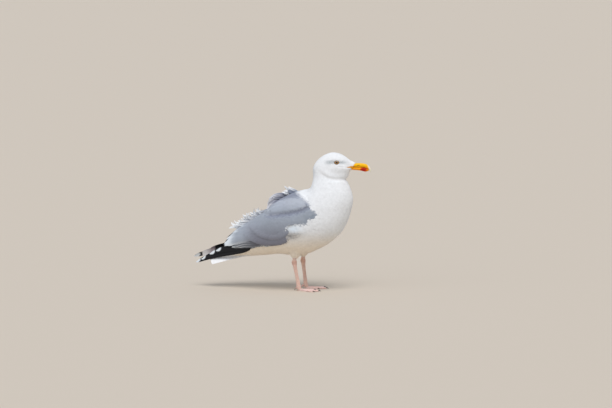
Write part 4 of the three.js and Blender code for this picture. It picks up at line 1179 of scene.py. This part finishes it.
# %% The corner of the mouth
def strip(line, half, side):
    """A soft ridge along a side-view line on the chart: half-widths for each point of the line."""
    line, half = even(line, 40), even(np.array(half, float)[:, None], 40)[..., None]
    centre, _, _, outwards, _ = on_chart(locate(line, side))
    forward = unit(np.gradient(centre, axis=0))
    up = unit(np.cross(outwards, forward))
    angle = circle(20)[..., None]
    ring = up[:, None] * np.cos(angle) * half + outwards[:, None] * np.sin(angle) * 0.55
    sunk = 1.0 * step(np.linspace(0, 1, len(centre)), 0.6, 1)[:, None]
    return (centre - outwards * sunk)[:, None] + ring


GAPE_LINE = [(123.5, 329.3), (129, 329.0), (134, 328.9), (140, 328.9)]  # x, z
GAPE_HALF = [0.2, 1.1, 2.3, 3.6]  # half-width at each of those points
for side, name in SIDES:
    rings = strip(GAPE_LINE, GAPE_HALF, side)
    tube_piece(f"gape_{name}", rings[:, ::side], linear("#f0a30e"), HORN)

# %% [markdown]
# ## Eyes
# The ball sits under a straight brow, and only a small part of it shows inside a ring of bare,
# dull orange skin, painted darker brown as shade under the brow. The iris is painted amber round a
# small pupil, with a darker rim: its own pale yellow darkened as painted shade. The cornea is wet
# and clear, so it mirrors the sky as one sharp point of light.

# %% Make the eyes and their lids
# The cornea's index of refraction is 1.376, and its film of tears is a second, sharper gloss.
CORNEA = tinted("wet cornea over an amber iris", 0.02, 3,
                Roughness=0.06, IOR=1.376, Coat_Weight=1.0, Coat_Roughness=0.02)[0]
# Thin bare skin, kept soft by the tears, has a broad, dim gloss.
LID_SKIN = tinted("bare skin of the eyelids", 0.08, 2, Roughness=0.45)[0]
PROUD = 1.6  # mm that the cornea stands out from the lids' plane
LID_REACH, LID_ABOVE, LID_BELOW = 5.3, 3.4, 4.0  # half-length and heights of the opening


def eyeball(side):
    """Rings of a ball whose axis is its gaze: the iris is a circle of rows around it."""
    polar = np.linspace(0.02, np.pi - 0.02, 80)[:, None]
    angle = circle(64)
    centre, _, _, gaze, _ = (part[0] for part in on_chart(locate(EYE[None], side)))
    level = unit(np.cross([0, 0, 1], gaze))
    up = np.cross(gaze, level)
    rim = level * np.cos(angle)[..., None] + up * np.sin(angle)[..., None]
    ball = gaze * np.cos(polar)[..., None] + rim * np.sin(polar)[..., None]
    out = EYE_RADIUS * np.sin(polar) + 0 * angle
    # Amber-brown iris: the real pale yellow darkened as painted shade under the brow.
    iris = mix(linear("#b48a3e"), linear("#7a4f20"), step(out, 3.5, 5.2))
    iris = mix(linear("#946c2c"), iris, step(out, 2.7, 3.6))
    iris = mix(iris, linear("#1a120c"), step(out, 5.1, 5.8))
    tint = mix(linear("#0b0806"), iris, step(out, 2.55, 2.85))
    tint = np.where((polar > np.pi / 2)[..., None], linear("#1a120c"), tint)
    return centre + gaze * (PROUD - EYE_RADIUS) + ball * EYE_RADIUS, tint


def eyelids(side):
    """A ring of skin round the opening: an oval tube that comes to a point in front and behind."""
    centre, along, _, outwards, _ = on_chart(locate(EYE[None], side))
    level = unit(along - outwards * (along * outwards).sum(-1, keepdims=True))
    level = unit(level - [0, 0, 1] * level[..., 2:] * 0.9)
    up = np.cross(outwards, level)
    up = up * np.sign(up[..., 2:])
    angle = circle(96).T
    corner = np.abs(np.cos(angle)) ** 6
    wide = LID_REACH + 0.6 * corner
    high = np.where(np.sin(angle) > 0, LID_ABOVE, LID_BELOW)
    spine = centre + level * wide * np.cos(angle) + up * high * np.sin(angle)
    spine = spine + outwards * (0.25 - 0.45 * np.cos(angle) ** 2)
    inward = unit(centre - spine)
    turn = circle(16)[..., None]
    thick = (0.7 + 0.5 * corner)[..., None]
    ring = inward[:, None] * np.cos(turn) * thick + outwards[:, None] * np.sin(turn) * 0.6
    return spine[:, None] + ring


def ring_faces(rows, around):
    """Quads of a ring of rings: the last row joins the first."""
    quads, r, c = grid_faces(rows + 1, around)
    return quads % (rows * around), r, c


for side, name in SIDES:
    ball, tint = eyeball(side)
    tube_piece(f"eyeball_{name}", ball[:, ::-1], tint, CORNEA, (f"eye_{name}",))
    lids = eyelids(side)
    quads, r, c = ring_faces(*lids.shape[:2])
    if side > 0:
        quads, r, c = quads[:, ::-1], r[:, ::-1], c[:, ::-1]
    lid_uv = 0.02 + 0.96 * np.stack([r / lids.shape[0], c / lids.shape[1]], -1).reshape(-1, 2)
    # The lids' ring is a darker, duller brown than its own orange: painted shade under the brow.
    tint = np.broadcast_to(linear("#8f6734"), lids.shape).reshape(-1, 3)
    make_piece(f"eyelids_{name}", lids, [quads], LID_SKIN, (), {"tint": tint}, lid_uv)

# %% [markdown]
# ## Legs and feet
# Bare pink legs come out of the thigh feathers just above the ankle. The tarsus is flat from side to
# side and wears a row of broad plates in front and small scales elsewhere. Three toes carry the
# webs, and a short hind toe with its own claw reaches the ground behind. The soles are flat on the
# floor.

# %% Leg surfaces
# The skin of the legs is dry and lets a little light in, so its shadows turn pink. The cracks
# between its smallest scales are drawn 1.1 mm apart, so 900 to the metre.
LEG_SKIN, leg_nodes, leg_shader, leg_where = tinted(
    "scaly leg skin", 0.12, 5, Roughness=0.55, Subsurface_Weight=0.15,
    Subsurface_Radius=(0.003, 0.0012, 0.0008), Subsurface_Scale=0.4)
scales = add_node(leg_nodes, "TexVoronoi", [("Vector", leg_where.outputs["Object"])],
                  feature="DISTANCE_TO_EDGE", Scale=900.0)
cracks = add_node(leg_nodes, "MapRange", [("Value", scales.outputs["Distance"])])
cracks.inputs["From Max"].default_value = 0.12
rough_skin = add_node(
    leg_nodes, "Bump", [("Height", cracks.outputs["Result"])], Strength=0.5, Distance=0.0002)
LEG_SKIN.node_tree.links.new(rough_skin.outputs["Normal"], leg_shader.inputs["Normal"])
# Claws are thicker, darker horn.
CLAW_HORN = tinted("dark claw horn", 0.1, 3, Roughness=0.35, IOR=1.54)[0]

# %% Lay out the legs
TOES = [(-25, 42), (0, 57), (22, 52)]  # degrees outwards from the middle toe, and length
HEEL = 4.0  # mm from the leg's axis back to the heel, where the toes' lines meet
PLATE, SCALE = 2.2, 1.7  # mm from one front plate to the next, and from one small scale to the next
SHANK = [  # share of the way from ankle to foot in x, x beyond that, z, half-width, half-depth
    (0, 3, 104, 4.2, 5.6), (0, 1.2, 92, 3.8, 5.5), (0, 0.4, 83, 3.6, 5.4), (0, -0.2, 77, 4.3, 6.8),
    (0, 0, 72, 4.4, 6.9), (0.12, 0, 65, 3.4, 5.5), (0.4, 0, 48, 2.8, 4.7), (0.7, 0, 30, 2.8, 4.8),
    (0.9, 0, 17, 3.2, 5.6), (1, 0.4, 8, 4.1, 6.6), (1, 1.5, 4.2, 4.0, 5.2),
]
WEB_EDGE = [  # degrees outwards from the middle toe, and mm from the leg's axis to the web's edge
    (-30, 20), (-29, 34), (-26.6, 41.6), (-25, 42.2), (-23, 40), (-16, 37.5), (-11, 39.5), (-5, 47),
    (-2.2, 54.5), (0, 57.2), (2.2, 54.5), (6, 48.5), (11, 45.5), (16, 46.5), (20, 50), (22, 52.2),
    (23.4, 51), (26, 36), (27, 20),
]
TOE_HALF = [  # share of a toe's length, and its half-width with the pads between the joints
    (0, 4.6), (0.16, 3.2), (0.3, 3.5), (0.42, 2.7), (0.55, 3.0), (0.68, 2.5), (0.8, 2.8), (0.93, 2.3),
    (1, 1.2),
]
TOE_TALL = [  # share of a toe's length, and its height
    (0, 8.4), (0.1, 7.4), (0.2, 6.0), (0.42, 5.2), (0.6, 4.9), (0.93, 4.2), (1, 2.6), (1.01, 0),
]
CLAW_LENGTH, CLAW_ROOT = 7.5, 1.7  # a front claw's length and the radius of its root
HIND_LENGTH, HIND_ROOT_Z = 10.5, 11.3  # the hind toe's length and the height of its root
HIND_CLAW = 0.8  # size of its claw beside a front one
HIND_RADIUS = [(0, 2.4), (0.5, 2.0), (0.8, 1.8), (0.95, 1.5), (1, 0.9)]  # share of length, radius


def curve(value, table):
    """A table of (place, height) pairs read at each value, straight between its rows."""
    return np.interp(value, *np.transpose(table))


# %% Make the legs
def shank(side):
    """Rings of the bare leg from inside the thigh down to the foot. The front plates are a
    sawtooth down the shin."""
    ankle_x, foot_x, _ = FEET[side]
    share, further, z, wide, deep = even(SHANK, 260).T[..., None]
    angle = circle(40)
    front = step(np.cos(angle), 0.15, 0.6)
    plate = (z / PLATE) % 1
    bump = 0.16 * front * (step(plate, 0, 0.2) - 0.8) * step(z, 82, 78)
    small_scales = np.sin(z * 2 * np.pi / SCALE) * step(z, 84, 80)
    bump = bump + 0.1 * step(-np.cos(angle), 0.2, 0.8) * small_scales
    x = ankle_x + (foot_x - ankle_x) * share + further + (deep + bump) * np.cos(angle)
    y = side * STANCE + (wide + 0.5 * bump) * np.sin(angle)
    tint = mix(linear("#e8c5b6"), linear("#cfa08c"), step(np.abs(z - 74), 7, 2) * 0.5 + 0 * angle)
    tint = mix(tint, linear("#c39688"), 0.5 * front * step(plate, 0.25, 0))
    tint = mix(tint, linear("#cdc6c4"), 0.8 * step(z, 82, 92))
    return np.stack([x, y, z + 0 * x], -1), tint


def foot(side):
    """Top and underside of a closed leaf over the sole, in polar steps from the heel: `turn` from
    the inner toe's edge to the outer one's and `out` from the heel to the web's edge. Its height is
    the web plus a round ridge along each toe; its underside is flat on the ground, a little raised
    under the webs."""
    _, foot_x, heading = FEET[side]
    turn = np.linspace(WEB_EDGE[0][0], WEB_EDGE[-1][0], 150)[:, None]
    out = np.linspace(0, 1, 90)[None, :] ** 0.9
    r = out * (curve(turn, WEB_EDGE) + HEEL)
    x, y = r * np.cos(np.radians(turn)), r * np.sin(np.radians(turn))
    height = 1.25 + 0.15 * np.sin(y * 1.9) * step(r, 12, 30)
    for degree, toe in TOES:
        a = np.radians(degree)
        ahead, aside = x * np.cos(a) + y * np.sin(a), np.abs(-x * np.sin(a) + y * np.cos(a))
        share = ahead / (toe + HEEL)
        ridge = curve(share, TOE_TALL) * (share <= 1.01)
        ridge = ridge * np.sqrt(np.clip(1 - (aside / curve(share, TOE_HALF)) ** 2, 0, 1))
        segment = 0.12 * step(np.abs((ahead / 2.1) % 1 - 0.5), 0.5, 0.3) * (aside < 1.8)
        height = np.maximum(height, ridge - segment)
    heel = step(np.hypot(x + 0.5, y), 8.5, 2) * 7.6
    height = np.maximum(height, heel)
    top = np.minimum(height, 0.7)
    top[:, 0] = height[:, 0] * 0.5
    top[1:-1, 1:-1] = height[1:-1, 1:-1]
    sole = np.where(height > 2.2, 0.0, 0.35) * step(r, 6, 14)
    heading = np.radians(heading)
    x = x - HEEL
    ground_x = foot_x + x * np.cos(heading) - side * y * np.sin(heading)
    ground_y = side * STANCE + x * np.sin(heading) + side * y * np.cos(heading)
    tint = mix(linear("#eed0c8"), linear("#dcb2a8"), step(height, 2.5, 1.3))
    tint = mix(tint, linear("#b88a80"), 0.5 * step(out, 0.96, 1.0) * (height < 2))
    return (np.stack([ground_x, ground_y, top], -1),
            np.stack([ground_x, ground_y, np.minimum(sole, top)], -1), tint)


def closed_sheet(top, under, tint, flip):
    """Points, faces, tint and bake places of two sheets that share their rim."""
    rows, columns = top.shape[:2]
    upper, lower, spots = two_layers(rows, columns)
    if flip:
        upper, lower = upper[:, ::-1], lower[:, ::-1]
    points = top.reshape(-1, 3)[spots]
    points[rows * columns :] = under.reshape(-1, 3)[spots[rows * columns :]]
    down, across = np.divmod(np.arange(rows * columns), columns)
    flat = np.stack([0.02 + 0.96 * down / (rows - 1), 0.02 + 0.46 * across / (columns - 1)], -1)
    places = np.vstack([flat[upper].reshape(-1, 2), (flat[spots[lower]] + [0, 0.5]).reshape(-1, 2)])
    return points, [upper, lower], tint.reshape(-1, 3)[spots], places


def claw(at, heading, size, drop):
    """Rings of a claw: a curved cone that starts as an oval and ends blunt, just above the ground."""
    t = np.linspace(0, 1, 24)[:, None]
    across = unit(np.cross([0, 0, 1], heading))
    up = np.cross(heading, across)
    length = CLAW_LENGTH * size
    centre = at + heading * t * length + np.array([0, 0, 1]) * length * (0.3 * t - drop * t**2)
    radius = CLAW_ROOT * size * np.sqrt(1 - 0.97 * t) * (1 - 0.25 * t)
    angle = circle(20)[..., None]
    rings = centre[:, None] + (across * np.cos(angle) * 0.8 + up * np.sin(angle)) * radius[..., None]
    rings[..., 2] = np.maximum(rings[..., 2], 0.05)
    return rings


def hind_toe(start, back):
    """Rings of the short toe that reaches back and down, with a few soft folds."""
    t = np.linspace(0, 1, 40)[:, None]
    radius = curve(t, HIND_RADIUS) + 0.1 * np.sin(t * 26)
    across = unit(np.cross([0, 0, 1], back))
    angle = circle(24)[..., None]
    rim = across * np.cos(angle) + np.cross(back, across) * np.sin(angle)
    return (start + back * t * HIND_LENGTH)[:, None] + rim * radius[..., None]


CLAW_TINT = linear("#2b2420")
for side, name in SIDES:
    rings, tint = shank(side)
    tube_piece(f"leg_{name}", rings[::-1], tint[::-1], LEG_SKIN, (f"shank_{name}",))
    points, faces, tint, places = closed_sheet(*foot(side), side > 0)
    make_piece(f"webbed_foot_{name}", points, faces, LEG_SKIN, (f"foot_{name}",),
               {"tint": tint}, places)
    _, foot_x, heading = FEET[side]
    root = np.array([foot_x, side * STANCE, 0])
    back = unit(np.array([-0.72, -0.3 * side, -0.62]))
    start = root + [-3, -1.5 * side, HIND_ROOT_Z]
    tube_piece(f"hind_toe_{name}", hind_toe(start, back), linear("#e2bdb4"), LEG_SKIN)
    ahead = np.radians(heading)
    heel = root - HEEL * np.array([np.cos(ahead), np.sin(ahead), 0])
    claws = {}
    for toe, (degree, length) in zip(("inner", "middle", "outer"), TOES):
        turn = np.radians(heading + side * degree)
        way = np.array([np.cos(turn), np.sin(turn), 0])
        claws[toe] = claw(heel + way * (length + HEEL - 2.5) + [0, 0, 2.3], way, 1.0, 0.52)
    claws["hind"] = claw(start + back * (HIND_LENGTH - 0.6), back, HIND_CLAW, 0.5)
    for toe, rings in claws.items():
        replaced = (f"claw_{toe}_{name}",)
        tube_piece(f"{toe}_claw_{name}", rings, CLAW_TINT, CLAW_HORN, replaced)
